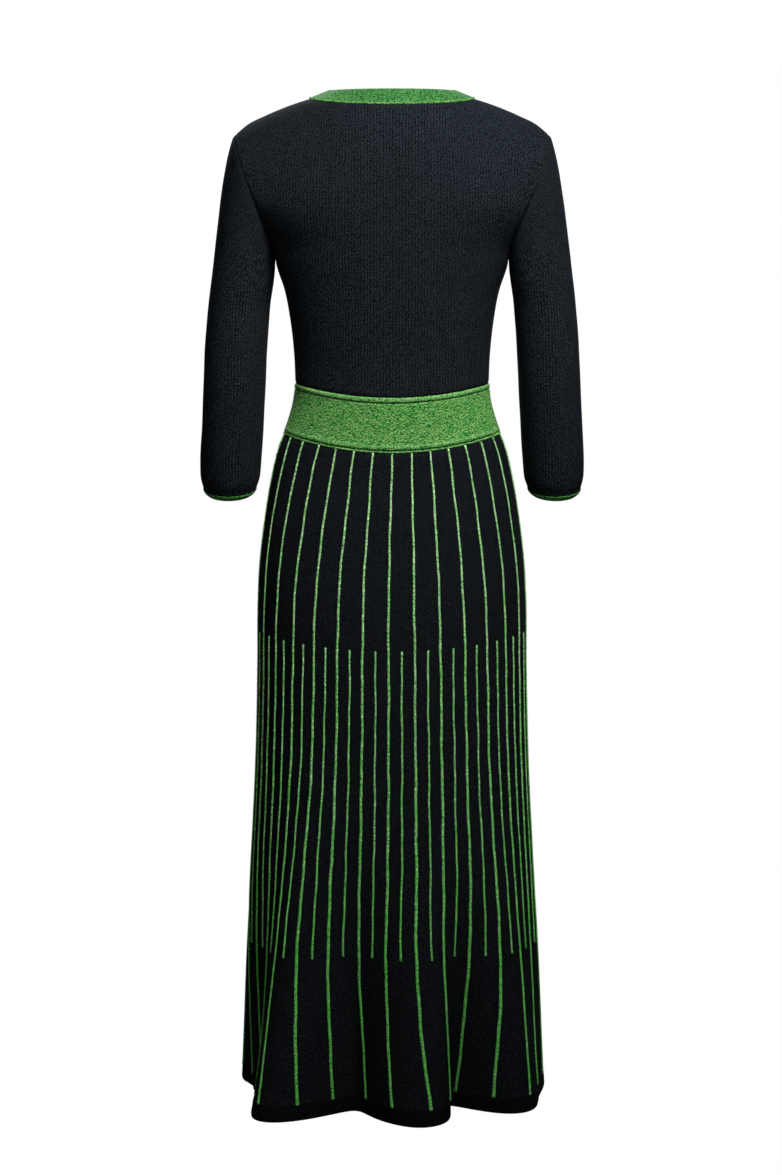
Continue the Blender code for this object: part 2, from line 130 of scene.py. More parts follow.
@dataclass(frozen=True)
class SleeveLevel:
    """One level of a sleeve: its middle, half its width and depth, and how far it tips down at the back."""

    z: float
    x: float
    y: float
    half_width: float
    half_depth: float
    tip_degrees: float


@dataclass(frozen=True)
class Fold:
    """A soft fold that opens toward the hem, at a bearing from the centre back in degrees."""

    bearing: float
    out: float
    half_angle: float
    top: float


@dataclass(frozen=True)
class Swell:
    """A soft swell (or a hollow, where its height is below nothing) over the body under the knit."""

    side: Side
    x: float
    z: float
    half_width: float
    half_height: float
    height: float


BODY_LEVELS = (
    Level(-0.184, 0.1345, 0.0880, 0.1120, 0.0000, 0.80),
    Level(-0.197, 0.1298, 0.0870, 0.1130, 0.0010, 0.81),
    Level(-0.222, 0.1234, 0.0845, 0.1125, 0.0030, 0.84),
    Level(-0.250, 0.1182, 0.0810, 0.1060, 0.0060, 0.88),
    Level(-0.278, 0.1148, 0.0770, 0.0970, 0.0090, 0.93),
    Level(-0.305, 0.1127, 0.0745, 0.0910, 0.0120, 0.97),
    Level(-0.326, 0.1120, 0.0735, 0.0880, 0.0135),
    Level(-0.347, 0.1143, 0.0740, 0.0880, 0.0155),
    Level(-0.375, 0.1222, 0.0760, 0.0890, 0.0180),
    Level(-0.402, 0.1322, 0.0810, 0.0925, 0.0190),
    Level(-0.430, 0.1390, 0.0880, 0.0970, 0.0190),
    Level(-0.458, 0.1442, 0.0960, 0.1020, 0.0185),
    Level(-0.486, 0.1484, 0.1030, 0.1065, 0.0175),
    Level(-0.533, 0.1538, 0.1140, 0.1130, 0.0155),
    Level(-0.580, 0.1561, 0.1220, 0.1180, 0.0135),
    Level(-0.650, 0.1567, 0.1275, 0.1230, 0.0105),
    Level(-0.768, 0.1596, 0.1330, 0.1300, 0.0045),
    Level(-0.887, 0.1657, 0.1390, 0.1380, -0.0020),
    Level(-1.006, 0.1726, 0.1470, 0.1470, -0.0050),
    Level(-1.127, 0.1782, 0.1570, 0.1570, -0.0010),
    Level(-1.154, 0.1797, 0.1595, 0.1595, 0.0000),
)

ARMHOLE = (
    Armhole(-0.1840, 0.1345, 0.0000, 0.1345, 0.0000, 0.0880, 0.1120, 0.80),
    Armhole(-0.1750, 0.1356, 0.0200, 0.1350, 0.0210, 0.0885, 0.1110, 0.82),
    Armhole(-0.1640, 0.1384, 0.0320, 0.1370, 0.0340, 0.0890, 0.1090, 0.85),
    Armhole(-0.1490, 0.1445, 0.0415, 0.1415, 0.0445, 0.0897, 0.1060, 0.90),
    Armhole(-0.1270, 0.1542, 0.0475, 0.1500, 0.0520, 0.0900, 0.1000),
    Armhole(-0.1050, 0.1628, 0.0470, 0.1590, 0.0515),
    Armhole(-0.0860, 0.1698, 0.0420, 0.1670, 0.0455),
    Armhole(-0.0685, 0.1752, 0.0330, 0.1735, 0.0350),
    Armhole(-0.0550, 0.1787, 0.0215, 0.1780, 0.0220),
    Armhole(-0.0470, 0.1805, 0.0105, 0.1803, 0.0105),
    Armhole(-0.0430, 0.1815, 0.0000, 0.1815, 0.0000),
)

SHOULDER_SEAM = (
    (0.0935, -0.0010),
    (0.1110, -0.0070),
    (0.1285, -0.0134),
    (0.1460, -0.0204),
    (0.1640, -0.0290),
    (0.1815, -0.0430),
)

NECK_SEAM = Neck(0.0935, -0.0010, 0.0620, -0.0095, 0.0670, -0.0720)
NECK_RIM = Neck(0.0700, 0.0082, 0.0450, 0.0085, 0.0530, -0.0500)
NECK_STEPS = 7

SLEEVE_LEVELS = (
    SleeveLevel(-0.2350, 0.1758, 0.0000, 0.0357, 0.0450, 0.0),
    SleeveLevel(-0.2776, 0.1792, 0.0020, 0.0360, 0.0430, 0.0),
    SleeveLevel(-0.3330, 0.1820, 0.0010, 0.0361, 0.0410, 3.0),
    SleeveLevel(-0.3750, 0.1845, -0.0040, 0.0359, 0.0400, 7.0),
    SleeveLevel(-0.4130, 0.1872, -0.0105, 0.0357, 0.0388, 11.0),
    SleeveLevel(-0.4500, 0.1889, -0.0183, 0.0341, 0.0375, 13.5),
)

FOLDS = (
    Fold(84, -0.014, 9, -0.90),
    Fold(68, -0.013, 9, -0.86),
    Fold(40, 0.062, 15, -0.72),
    Fold(20, -0.036, 11, -0.80),
    Fold(-10, 0.042, 14, -0.72),
    Fold(-32, -0.054, 7.5, -0.90),
    Fold(-49, 0.033, 16, -0.74),
    Fold(122, 0.022, 16, -0.78),
    Fold(150, -0.012, 12, -0.84),
    Fold(176, 0.026, 17, -0.76),
    Fold(-157, -0.014, 11, -0.84),
    Fold(-130, 0.024, 16, -0.78),
)

# What the body under the knit adds: the shoulder blades, the hollow of the spine and the soft places beside
# it at the back, and the hollow of the breastbone at the front.
SWELLS = (
    Swell(Side.BACK, 0.078, -0.105, 0.042, 0.048, 3.2 * MM),
    Swell(Side.BACK, -0.078, -0.105, 0.042, 0.048, 3.2 * MM),
    Swell(Side.BACK, 0.000, -0.190, 0.022, 0.110, -2.6 * MM),
    Swell(Side.BACK, 0.074, -0.215, 0.034, 0.040, -1.6 * MM),
    Swell(Side.BACK, -0.074, -0.215, 0.034, 0.040, -1.6 * MM),
    Swell(Side.FRONT, 0.000, -0.205, 0.024, 0.060, -2.2 * MM),
)

BAND_TOP, BAND_BOTTOM = -0.3274, -0.3854
SHORT_RIB_TOP, SHORT_RIB_FOOT, LONG_RIB_FOOT, HEM = -0.6133, -0.9770, -1.1365, -1.1540
HELD_MARGIN = 0.03  # how far a sewn edge holds the knit beside it flat
EDGE_CROWDING = 0.45  # how much closer together a panel's points lie toward its edges
CORNER_POWER = 12  # how late the sharp corners of a panel's last row come in


def curve_between(
    start: np.ndarray,
    end: np.ndarray,
    leaving: np.ndarray,
    arriving: np.ndarray,
    t: float | np.ndarray,
    step: float | np.ndarray = 1.0,
) -> np.ndarray:
    """Points on smooth curves, given how they leave and arrive.

    Args:
        start: where each curve starts.
        end: where each one ends.
        leaving: the way it leaves, longer for a stronger pull.
        arriving: the way it arrives, in the same manner.
        t: the share of the way along.
        step: what the two pulls are multiplied by.

    Returns:
        A point on each curve.
    """
    return (
        (2 * t**3 - 3 * t**2 + 1) * start
        + (t**3 - 2 * t**2 + t) * step * leaving
        + (3 * t**2 - 2 * t**3) * end
        + (t**3 - t**2) * step * arriving
    )


def hermite(
    values: np.ndarray, knots: np.ndarray, at: np.ndarray, corners: tuple[int, ...] = ()
) -> np.ndarray:
    """Eases values from knot to knot along the first axis.

    Args:
        values: one value, or one array of values, at each knot.
        knots: rising places of the values.
        at: the places wanted.
        corners: knots where the curve may turn sharply.

    Returns:
        The values at the places wanted, along the first axis.
    """
    into = np.gradient(values, knots, axis=0)
    leaving = into.copy()
    for corner in corners:
        into[corner] = (values[corner] - values[corner - 1]) / (knots[corner] - knots[corner - 1])
        leaving[corner] = (values[corner + 1] - values[corner]) / (knots[corner + 1] - knots[corner])
    low = np.clip(np.searchsorted(knots, at, side="right") - 1, 0, len(knots) - 2)
    step = knots[low + 1] - knots[low]
    shape = (-1,) + (1,) * (values.ndim - 1)
    t, step = ((at - knots[low]) / step).reshape(shape), step.reshape(shape)
    return curve_between(values[low], values[low + 1], leaving[low], into[low + 1], t, step)


def column(rows: tuple, name: str, z: float) -> float:
    """One column of a table of levels at a height, eased from row to row.

    Args:
        rows: the table, from the top level down.
        name: the column's name.
        z: the height.

    Returns:
        The column's value there.
    """
    heights = np.array([row.z for row in rows])[::-1]
    values = np.array([getattr(row, name) for row in rows])[::-1]
    return float(hermite(values, heights, np.array([z]))[0])


def unit(vectors: np.ndarray) -> np.ndarray:
    """Each vector at length one; a vector of no length stays as it is."""
    length = np.linalg.norm(vectors, axis=-1, keepdims=True)
    return vectors / np.where(length > 1e-12, length, 1.0)


def hump(distance: np.ndarray, width: float) -> np.ndarray:
    """A smooth hump that is one where the distance is nothing and falls away over the width."""
    return np.exp(-((distance / width) ** 2))


def run_along(points: np.ndarray, axis: int) -> np.ndarray:
    """The length of cloth from the first row or column of a grid to each of its points.

    Args:
        points: the grid, rows by columns by three.
        axis: 0 to measure down the rows, or 1 to measure across the columns.

    Returns:
        A length for each point.
    """
    steps = np.linalg.norm(np.diff(points, axis=axis), axis=-1)
    pad = [(0, 0), (0, 0)]
    pad[axis] = (1, 0)
    return np.cumsum(np.pad(steps, pad), axis=axis)


def crowded(count: int, ends: float) -> np.ndarray:
    """Places from 0 to 1, closer together toward both ends as ends goes from 0 to 1."""
    t = np.linspace(0.0, 1.0, count)
    return (1 - ends) * t + ends * (1 - np.cos(np.pi * t)) / 2


def flattened(angle: np.ndarray, power: float) -> np.ndarray:
    """The cosine, raised to a power below one where an outline is squarer than an ellipse."""
    return np.maximum(np.cos(angle), 0.0) ** power


def squarer(wave: np.ndarray, power: float) -> np.ndarray:
    """A sine or cosine raised to a power below one, with its sign, which squares off a round section."""
    return np.sign(wave) * np.abs(wave) ** power


def refined(
    points: np.ndarray, rows: int, columns: int, wraps: bool = False, corners: tuple[int, ...] = ()
) -> np.ndarray:
    """A coarse grid of points, eased to a fine one.

    Args:
        points: the coarse grid, rows by columns by three.
        rows: how many rows are wanted.
        columns: how many columns are wanted.
        wraps: whether the last column is followed by the first one.
        corners: coarse columns where the last row turns sharply.

    Returns:
        The fine grid.
    """
    knots = run_along(points, 0).mean(1)
    points = hermite(points, knots, crowded(rows, EDGE_CROWDING) * knots[-1])
    count = points.shape[1]
    if wraps:
        around = np.concatenate([points[:, -3:], points, points[:, :4]], 1).swapaxes(0, 1)
        at = np.arange(columns) * count / columns
        return hermite(around, np.arange(-3.0, count + 4), at).swapaxes(0, 1)
    knots = run_along(points, 1).mean(0)
    at = crowded(columns, EDGE_CROWDING) * knots[-1]
    smooth = hermite(points.swapaxes(0, 1), knots, at).swapaxes(0, 1)
    if not corners:
        return smooth
    sharp = hermite(points.swapaxes(0, 1), knots, at, corners).swapaxes(0, 1)
    weight = np.linspace(0.0, 1.0, rows)[:, None, None] ** CORNER_POWER
    return (1 - weight) * smooth + weight * sharp


@dataclass
class WornForm:
    """The worn shape that all the panels follow."""

    fold_limit: float = 1.2
    fold_power: float = 1.5
    angle_steps: int = 721
    drift: float = 4.0 * MM
    drift_length: float = 0.16
    slow_ripple: float = 0.34
    quick_ripple: float = 0.16

    def fold_out(self, bearing: np.ndarray, z: float) -> np.ndarray:
        """How far the folds push the skirt out at a height.

        Args:
            bearing: bearings from the centre back, in degrees.
            z: the height.

        Returns:
            How far out the knit goes at each bearing.
        """
        out = np.zeros_like(bearing)
        for fold in FOLDS:
            apart = (bearing - fold.bearing + 180.0) % 360.0 - 180.0
            opened = min(max((fold.top - z) / (fold.top - HEM), 0.0), self.fold_limit)
            out += fold.out * opened**self.fold_power * hump(apart, fold.half_angle)
        return out

    def outline(self, side: Side, angle: np.ndarray, z: float) -> np.ndarray:
        """Points round one half of the body at a level.

        Args:
            side: which half.
            angle: angles from the centre, in radians.
            z: the level, at the side seams.

        Returns:
            A point for each angle.
        """
        half_width = column(BODY_LEVELS, "half_width", z)
        depth = column(BODY_LEVELS, side.name.lower(), z)
        power = column(BODY_LEVELS, "round", z)
        dip = column(BODY_LEVELS, "dip", z) if side is Side.BACK else 0.0
        x, y = half_width * np.sin(angle), side.value * depth * flattened(angle, power)
        pushed = 1 + self.fold_out(np.degrees(np.arctan2(x, y)), z) / np.hypot(x, y)
        return np.stack([x * pushed, y * pushed, z - dip * np.cos(angle) ** 2], -1)

    def level(self, side: Side, along: np.ndarray, z: float, drift: float = 0.0) -> np.ndarray:
        """Points at even lengths of knit round one half of the body.

        Args:
            side: which half.
            along: places from -1 at the wearer's right side seam to 1 at the left one.
            z: the level, at the side seams.
            drift: how far the places inside the half slip toward the wearer's left.

        Returns:
            A point for each place.
        """
        angles = np.radians(np.linspace(-90.0, 90.0, self.angle_steps))
        outline = self.outline(side, angles, z)
        run = np.concatenate([[0.0], np.cumsum(np.linalg.norm(np.diff(outline, axis=0), axis=1))])
        slipped = along + 2 * drift / run[-1] * (1 - along**2)
        return self.outline(side, np.interp((slipped + 1) / 2 * run[-1], run, angles), z)

    def skirt_level(self, side: Side, along: np.ndarray, z: float) -> np.ndarray:
        """Points round one half of the skirt, which slip toward the wearer's left on the back.

        Args:
            side: which half.
            along: places from -1 at the wearer's right side seam to 1 at the left one.
            z: the level, at the side seams.

        Returns:
            A point for each place.
        """
        share = min(max((BAND_BOTTOM - z) / self.drift_length, 0.0), 1.0)
        return self.level(side, along, z, side.value * self.drift * share)

    def swell(self, side: Side, points: np.ndarray) -> np.ndarray:
        """How far the body under the knit pushes each point out.

        Args:
            side: which half the points are on.
            points: the points.

        Returns:
            A height for each point.
        """
        out = np.zeros(points.shape[:-1])
        for swell in SWELLS:
            if swell.side is side:
                apart = ((points[..., 0] - swell.x) / swell.half_width) ** 2
                out += swell.height * np.exp(-apart - ((points[..., 2] - swell.z) / swell.half_height) ** 2)
        return out

    def ripple(self, points: np.ndarray) -> np.ndarray:
        """The slight unevenness of soft knit, from nothing to about half a millimetre either way.

        Args:
            points: the points.

        Returns:
            A height for each point, below nothing where the knit lies in.
        """
        x, y, z = points[..., 0], points[..., 1], points[..., 2]
        slow = np.sin(31 * x + 17 * y + 9 * z) * np.sin(23 * z - 11 * x + 1.3)
        quick = np.sin(83 * x - 61 * y + 47 * z + 0.7) * np.sin(71 * z + 39 * x - 2.1)
        return (self.slow_ripple * slow + self.quick_ripple * quick) * MM


# ---- Finishes ----


class Wiring:
    """Adds and joins the nodes of one material or background."""

    def __init__(self, owner: bpy.types.Material | bpy.types.World) -> None:
        """Clears the nodes that are there.

        Args:
            owner: the material or background that is to be built.
        """
        owner.use_nodes = True
        self.tree = owner.node_tree
        self.tree.nodes.clear()

    def node(self, kind: str, inputs: dict | None = None, **settings: object) -> bpy.types.Node:
        """A new node of a kind, with some of its settings and what goes into it.

        Args:
            kind: Blender's name for the kind.
            inputs: an output, number or colour for some of its sockets, by the socket's name or place.
            settings: the node's own settings, by name.

        Returns:
            The node.
        """
        node = self.tree.nodes.new(kind)
        for name, value in settings.items():
            setattr(node, name, value)
        for name, value in (inputs or {}).items():
            self.join(value, node.inputs[name])
        return node

    def join(self, source: object, target: bpy.types.NodeSocket) -> None:
        """Joins an output to a socket, or sets the socket to a plain value.

        Args:
            source: an output, or a number or colour.
            target: the socket.
        """
        if isinstance(source, bpy.types.NodeSocket):
            self.tree.links.new(source, target)
        else:
            target.default_value = source

    def maths(self, operation: str, *values: object) -> bpy.types.NodeSocket:
        """The result of one step of arithmetic.

        Args:
            operation: Blender's name for the step.
            values: outputs or numbers, in order.

        Returns:
            The result's output.
        """
        return self.node("ShaderNodeMath", dict(enumerate(values)), operation=operation).outputs[0]

    def mixed(self, share: object, one: object, other: object) -> bpy.types.NodeSocket:
        """Two colours mixed by a share of the second.

        Args:
            share: how much of the second, from 0 to 1.
            one: the first colour.
            other: the second colour.

        Returns:
            The mixed colour's output.
        """
        node = self.node("ShaderNodeMix", data_type="RGBA")
        for name, value in (("Factor_Float", share), ("A_Color", one), ("B_Color", other)):
            self.join(value, next(s for s in node.inputs if s.identifier == name))
        return next(s for s in node.outputs if s.identifier == "Result_Color")

    def by_ray(self, given: bpy.types.Node, seen: bpy.types.Node) -> bpy.types.NodeSocket:
        """Two shaders made one: the first for the light that it gives, and the second to look at.

        Args:
            given: the shader that lights other things.
            seen: the shader that is looked at.

        Returns:
            The output of both.
        """
        ray = self.node("ShaderNodeLightPath").outputs["Is Camera Ray"]
        return self.node("ShaderNodeMixShader", {0: ray, 1: given.outputs[0], 2: seen.outputs[0]}).outputs[0]


@dataclass(frozen=True)
class Stitch:
    """One stitch: its width and height, how far its legs lean, how high it stands and how round it is."""

    wale: float = 1.45 * MM
    course: float = 1.15 * MM
    lean: float = 0.62
    height: float = 0.26 * MM
    leg_power: float = 0.7
    ridge_power: float = 0.5


@dataclass(frozen=True)
class KnitFinish:
    """A knit: its yarn's shades in even steps from deep to pale, its stitch, and how it takes the light."""

    name: str
    shades: tuple[Colour, ...]
    stitch: Stitch
    roughness: float
    specular: float
    scatter: float
    beside: float
    above: float
    cloudiness: float
    streaks: float
    ribbing: float
    # how much painted shade darkens the hollows between the stitches
    hollow: float
    clouds_per_metre: float = 300.0
    streak_width: float = 0.55
    streak_length: float = 0.025

    def material(self) -> bpy.types.Material:
        """The knit's material, made the first time that it is asked for."""
        return bpy.data.materials.get(self.name) or self._made()

    def _made(self) -> bpy.types.Material:
        """Builds the material: stitches in rows over the sheet's own map, each with its own shade of yarn.

        Returns:
            The material.
        """
        material = bpy.data.materials.new(self.name)
        wiring = Wiring(material)
        maths = wiring.maths
        sheet_map = wiring.node("ShaderNodeUVMap", uv_map=KNIT_MAP)
        place = wiring.node("ShaderNodeSeparateXYZ", {0: sheet_map.outputs["UV"]})
        across = maths("DIVIDE", place.outputs["X"], self.stitch.wale)
        along = maths("DIVIDE", place.outputs["Y"], self.stitch.course)
        from_middle = maths("SUBTRACT", maths("FRACT", across), 0.5)
        out = maths("MULTIPLY", maths("ABSOLUTE", from_middle), 2.0)
        leaned = maths("MULTIPLY_ADD", out, self.stitch.lean, along)
        yarn = self._yarn(wiring, across, leaned)
        leg = maths("SINE", maths("MULTIPLY", maths("FRACT", leaned), math.pi))
        ridge = maths("SINE", maths("MULTIPLY", out, math.pi))
        rounded = maths("POWER", leg, self.stitch.leg_power)
        stand = maths("MULTIPLY", rounded, maths("POWER", ridge, self.stitch.ridge_power))
        # Painted shade: the hollows between the stitches' raised legs are mixed toward black by how deep they
        # lie.
        deep = maths("MULTIPLY_ADD", stand, -self.hollow, self.hollow)
        shaded = wiring.mixed(deep, yarn, (0.0, 0.0, 0.0, 1.0))
        raised = {"Strength": 1.0, "Distance": self.stitch.height, "Height": stand}
        bump = wiring.node("ShaderNodeBump", raised)
        looks = {"Base Color": shaded, "Roughness": self.roughness, "Specular IOR Level": self.specular}
        surface = wiring.node("ShaderNodeBsdfPrincipled", {**looks, "Normal": bump.outputs["Normal"]})
        wiring.node("ShaderNodeOutputMaterial", {"Surface": surface.outputs[0]})
        return material

    def _yarn(self, wiring: Wiring, across: object, leaned: object) -> bpy.types.NodeSocket:
        """The yarn's colour: a shade for each leg that its neighbours change, with clouds and streaks.

        Args:
            wiring: the material's nodes.
            across: places across the wales, one to a stitch.
            leaned: places along the wales, one to a stitch, which lean as the legs do.

        Returns:
            The colour's output.
        """
        maths = wiring.maths
        leg = maths("FLOOR", maths("MULTIPLY", across, 2.0))
        row = maths("FLOOR", leaned)
        chances = []
        for beside, above in ((0, 0), (1, 0), (0, 1)):
            places = {"X": maths("ADD", leg, beside), "Y": maths("ADD", row, above)}
            cell = wiring.node("ShaderNodeCombineXYZ", places).outputs[0]
            chance = wiring.node("ShaderNodeTexWhiteNoise", {"Vector": cell}, noise_dimensions="2D")
            chances.append(chance.outputs["Value"])
        own, beside, above = chances
        apart = maths("MULTIPLY_ADD", beside, self.beside, own)
        apart = maths("MULTIPLY_ADD", above, self.above, apart)
        spot = wiring.node("ShaderNodeTexCoord").outputs["Object"]
        clouds = {"Vector": spot, "Scale": self.clouds_per_metre, "Detail": 3.0}
        cloud = wiring.node("ShaderNodeTexNoise", clouds)
        width = maths("MULTIPLY", across, self.streak_width)
        length = maths("MULTIPLY", leaned, self.streak_length)
        lengthways = wiring.node("ShaderNodeCombineXYZ", {"X": width, "Y": length}).outputs[0]
        streak = wiring.node("ShaderNodeTexNoise", {"Vector": lengthways, "Scale": 1.0})
        usual = (1 + self.beside + self.above) / 2
        shade = maths("MULTIPLY_ADD", apart, self.scatter, 0.5 - self.scatter * usual)
        for source, amount in ((cloud, self.cloudiness), (streak, self.streaks)):
            shade = maths("ADD", shade, maths("MULTIPLY_ADD", source.outputs["Fac"], amount, -amount / 2))
        second = maths("GREATER_THAN", maths("FRACT", maths("MULTIPLY", across, 0.5)), 0.5)
        shade = maths("ADD", shade, maths("MULTIPLY_ADD", second, -self.ribbing, self.ribbing / 2))
        ramp = wiring.node("ShaderNodeValToRGB", {"Fac": shade})
        stops = ramp.color_ramp.elements
        stops[0].color, stops[-1].color = (*self.shades[0], 1.0), (*self.shades[-1], 1.0)
        for number, colour in enumerate(self.shades[1:-1], 1):
            stops.new(number / (len(self.shades) - 1)).color = (*colour, 1.0)
        return ramp.outputs["Color"]


BLACK_KNIT = KnitFinish(
    name="fine_black_knit",
    shades=((0.0018, 0.0025, 0.0037), (0.0068, 0.0093, 0.0121), (0.0275, 0.0345, 0.0405)),
    stitch=Stitch(wale=1.8 * MM, course=1.3 * MM, height=0.30 * MM),
    roughness=0.9,
    specular=0.01,
    scatter=1.35,
    beside=-0.35,
    above=-0.35,
    cloudiness=0.05,
    streaks=0.22,
    ribbing=0.36,
    hollow=0.75,
)
# The skirt's black knit: darker than the bodice's, as painted shade for the lower dress, which gets less
# light, and with fainter ribbing.
SHADED_SKIRT_KNIT = replace(
    BLACK_KNIT,
    name="skirt_knit_painted_shade",
    shades=((0.0011, 0.0014, 0.0019), (0.0046, 0.0058, 0.0074), (0.0165, 0.0195, 0.0230)),
    ribbing=0.08,
)
# The plain hem band's knit: darker again than the skirt's, with the same painted shade in its black.
HEM_KNIT = replace(
    BLACK_KNIT,
    name="black_hem_knit",
    shades=((0.0010, 0.0012, 0.0016), (0.0050, 0.0058, 0.0070)),
    stitch=Stitch(wale=1.4 * MM, course=1.0 * MM, height=0.14 * MM),
    streaks=0.2,
    hollow=0.35,
)
GREEN_MARL = KnitFinish(
    name="green_marl",
    shades=(
        (0.006, 0.075, 0.009),
        (0.019, 0.172, 0.028),
        (0.038, 0.242, 0.046),
        (0.064, 0.302, 0.062),
        (0.255, 0.440, 0.135),
    ),
    stitch=Stitch(wale=1.75 * MM, course=1.1 * MM, lean=0.5, height=0.26 * MM),
    roughness=0.85,
    specular=0.03,
    scatter=1.65,
    beside=0.25,
    above=-0.45,
    cloudiness=0.10,
    streaks=0.0,
    ribbing=0.0,
    hollow=0.5,
)
# The neckband's marl: darker than the band's, as painted shade on the neckband's upturned face, which catches
# more of the key light.
SHADED_NECK_MARL = replace(
    GREEN_MARL,
    name="neck_marl_painted_shade",
    shades=((0.004, 0.045, 0.006), (0.021, 0.130, 0.026), (0.085, 0.245, 0.075)),
)
# The cords' marl with a painted sheen: paler yarn for the upper cords, where they face the light. The roll and
# cord marls below take its stitch.
SHEEN_CORD_MARL = replace(
    GREEN_MARL,
    name="cord_marl_painted_sheen",
    shades=((0.016, 0.120, 0.018), (0.140, 0.470, 0.115), (0.600, 0.850, 0.460)),
    stitch=Stitch(wale=1.2 * MM, course=1.3 * MM, lean=0.9, height=0.22 * MM),
    hollow=0.3,
)
# Paler marl for the waistband's roll crests and lip: a painted highlight where they face the light.
ROLL_HIGHLIGHT_MARL = replace(
    SHEEN_CORD_MARL,
    name="roll_marl_painted_highlight",
    shades=((0.010, 0.095, 0.012), (0.050, 0.238, 0.046), (0.270, 0.480, 0.185)),
)
# The cords' plain marl, without the painted sheen, lower down.
CORD_MARL = replace(
    SHEEN_CORD_MARL,
    name="green_marl_cord",
    shades=((0.014, 0.155, 0.014), (0.066, 0.405, 0.050), (0.240, 0.660, 0.180)),
    stitch=Stitch(wale=1.0 * MM, course=0.9 * MM, lean=0.8, height=0.18 * MM),
)
DARK_MARL = replace(
    GREEN_MARL,
    name="dark_green_marl",
    shades=((0.007, 0.070, 0.009), (0.040, 0.200, 0.036), (0.120, 0.330, 0.090)),
)


# ---- Sheets of knit ----


@dataclass(frozen=True)
class Cut:
    """A panel as it was cut, laid flat: its greatest width and length, and its area."""

    width: float
    length: float
    area: float


def added(name: str, data: bpy.types.ID) -> bpy.types.Object:
    """A new object in the scene.

    Args:
        name: its name.
        data: its mesh, light or camera.

    Returns:
        The new object.
    """
    thing = bpy.data.objects.new(name, data)
    bpy.context.scene.collection.objects.link(thing)
    return thing


def knitted(
    name: str, points: np.ndarray, faces: list, maps: np.ndarray, finish: KnitFinish
) -> bpy.types.Object:
    """A new piece of knit in the scene, smooth, with its map.

    Args:
        name: the new object's name.
        points: its points.
        faces: its faces, each a list of the numbers of its points.
        maps: the place on the knit of each corner of each face.
        finish: the knit that it is made of.

    Returns:
        The new object.
    """
    mesh = bpy.data.meshes.new(name)
    mesh.from_pydata(points.tolist(), [], faces)
    mesh.uv_layers.new(name=KNIT_MAP).uv.foreach_set("vector", maps.astype(np.float32).ravel())
    mesh.shade_smooth()
    mesh.materials.append(finish.material())
    return added(name, mesh)


class Sheet:
    """One sheet of knit: a fine grid of points over its face, its way out and the lengths of knit in it."""

    def __init__(self, points: np.ndarray, wraps: bool = False) -> None:
        """Works out the way out at each point and the lengths of knit between them.

        Args:
            points: the grid, rows by columns by three.
            wraps: whether the last column is followed by the first one.
        """
        self.points, self.wraps = points, wraps
        closed = np.concatenate([points, points[:, :1]], 1) if wraps else points
        self.across, self.down = run_along(closed, 1), run_along(closed, 0)
        wide = np.concatenate([points[:, -1:], closed, points[:, 1:2]], 1) if wraps else points
        out = unit(np.cross(np.gradient(wide, axis=1), np.gradient(wide, axis=0)))
        out = out[:, 1 : 1 + points.shape[1]] if wraps else out
        middle = points[0].mean(0) if wraps else np.array([0.0, 0.0, 1.0]) * points[0]
        self.out = -out if (out[0] * (points[0] - middle)).sum() < 0 else out
        one, other = closed[1:, 1:] - closed[:-1, :-1], closed[1:, :-1] - closed[:-1, 1:]
        area = np.linalg.norm(np.cross(one, other), axis=-1).sum() / 2
        self.cut = Cut(float(self.across[:, -1].max()), float(self.down[-1].max()), float(area))

    def from_edge(self, edge: Edge) -> np.ndarray:
        """How far each point lies from an edge.

        Args:
            edge: which edge.

        Returns:
            A length of knit for each point.
        """
        columns = self.points.shape[1]
        if edge is Edge.FIRST_ROW:
            return self.down[:, :columns]
        if edge is Edge.LAST_ROW:
            return self.down[-1:, :columns] - self.down[:, :columns]
        if edge is Edge.FIRST_COLUMN:
            return self.across[:, :columns]
        return self.across[:, -1:] - self.across[:, :columns]

    def raise_by(self, height: np.ndarray) -> None:
        """Moves each point out by its height, or in where that is below nothing."""
        self.points = self.points + self.out * np.broadcast_to(height, self.points.shape[:2])[..., None]

    def sink(self, edge: Edge, depth: float = 0.9 * MM, width: float = 2.4 * MM) -> None:
        """Draws the knit in along a sewn edge, as its stitches do."""
        self.raise_by(-depth * hump(self.from_edge(edge), width))

    def build(
        self, name: str, finish: KnitFinish, thickness: float = 1.1 * MM, tuck: np.ndarray | None = None
    ) -> bpy.types.Object:
        """Makes the sheet's mesh, with its map, its finish and its thickness behind the face.

        Args:
            name: the new object's name.
            finish: the knit that it is made of.
            thickness: how thick the knit is.
            tuck: the far edge of the allowance that goes in behind the next panel, before the first row.

        Returns:
            The new object.
        """
        points, across, down = self.points, self.across, self.down
        if tuck is not None:
            width = np.linalg.norm(tuck - points[0], axis=-1).mean()
            points = np.concatenate([tuck[None], points])
            across, down = np.concatenate([across[:1], across]), np.concatenate([down[:1] - width, down])
        rows, columns = points.shape[:2]
        index = np.arange(rows * columns).reshape(rows, columns)
        after = np.roll(index, -1, 1) if self.wraps else index[:, 1:]
        before = index if self.wraps else index[:, :-1]
        corners = np.stack([before[:-1], after[:-1], after[1:], before[1:]], -1)
        flat = np.stack([across - across[:, -1:] / 2, down], -1)
        maps = np.stack([flat[:-1, :-1], flat[:-1, 1:], flat[1:, 1:], flat[1:, :-1]], 2)
        last = points.reshape(-1, 3)[corners[-1, 0]]
        if np.dot(np.cross(last[1] - last[0], last[3] - last[0]), self.out[-1, 0]) < 0:
            corners, maps = corners[..., ::-1], maps[..., ::-1, :]
        piece = knitted(name, points.reshape(-1, 3), corners.reshape(-1, 4).tolist(), maps, finish)
        solidify = piece.modifiers.new("thickness", "SOLIDIFY")
        solidify.thickness, solidify.offset, solidify.use_rim = thickness, -1.0, True
        return piece


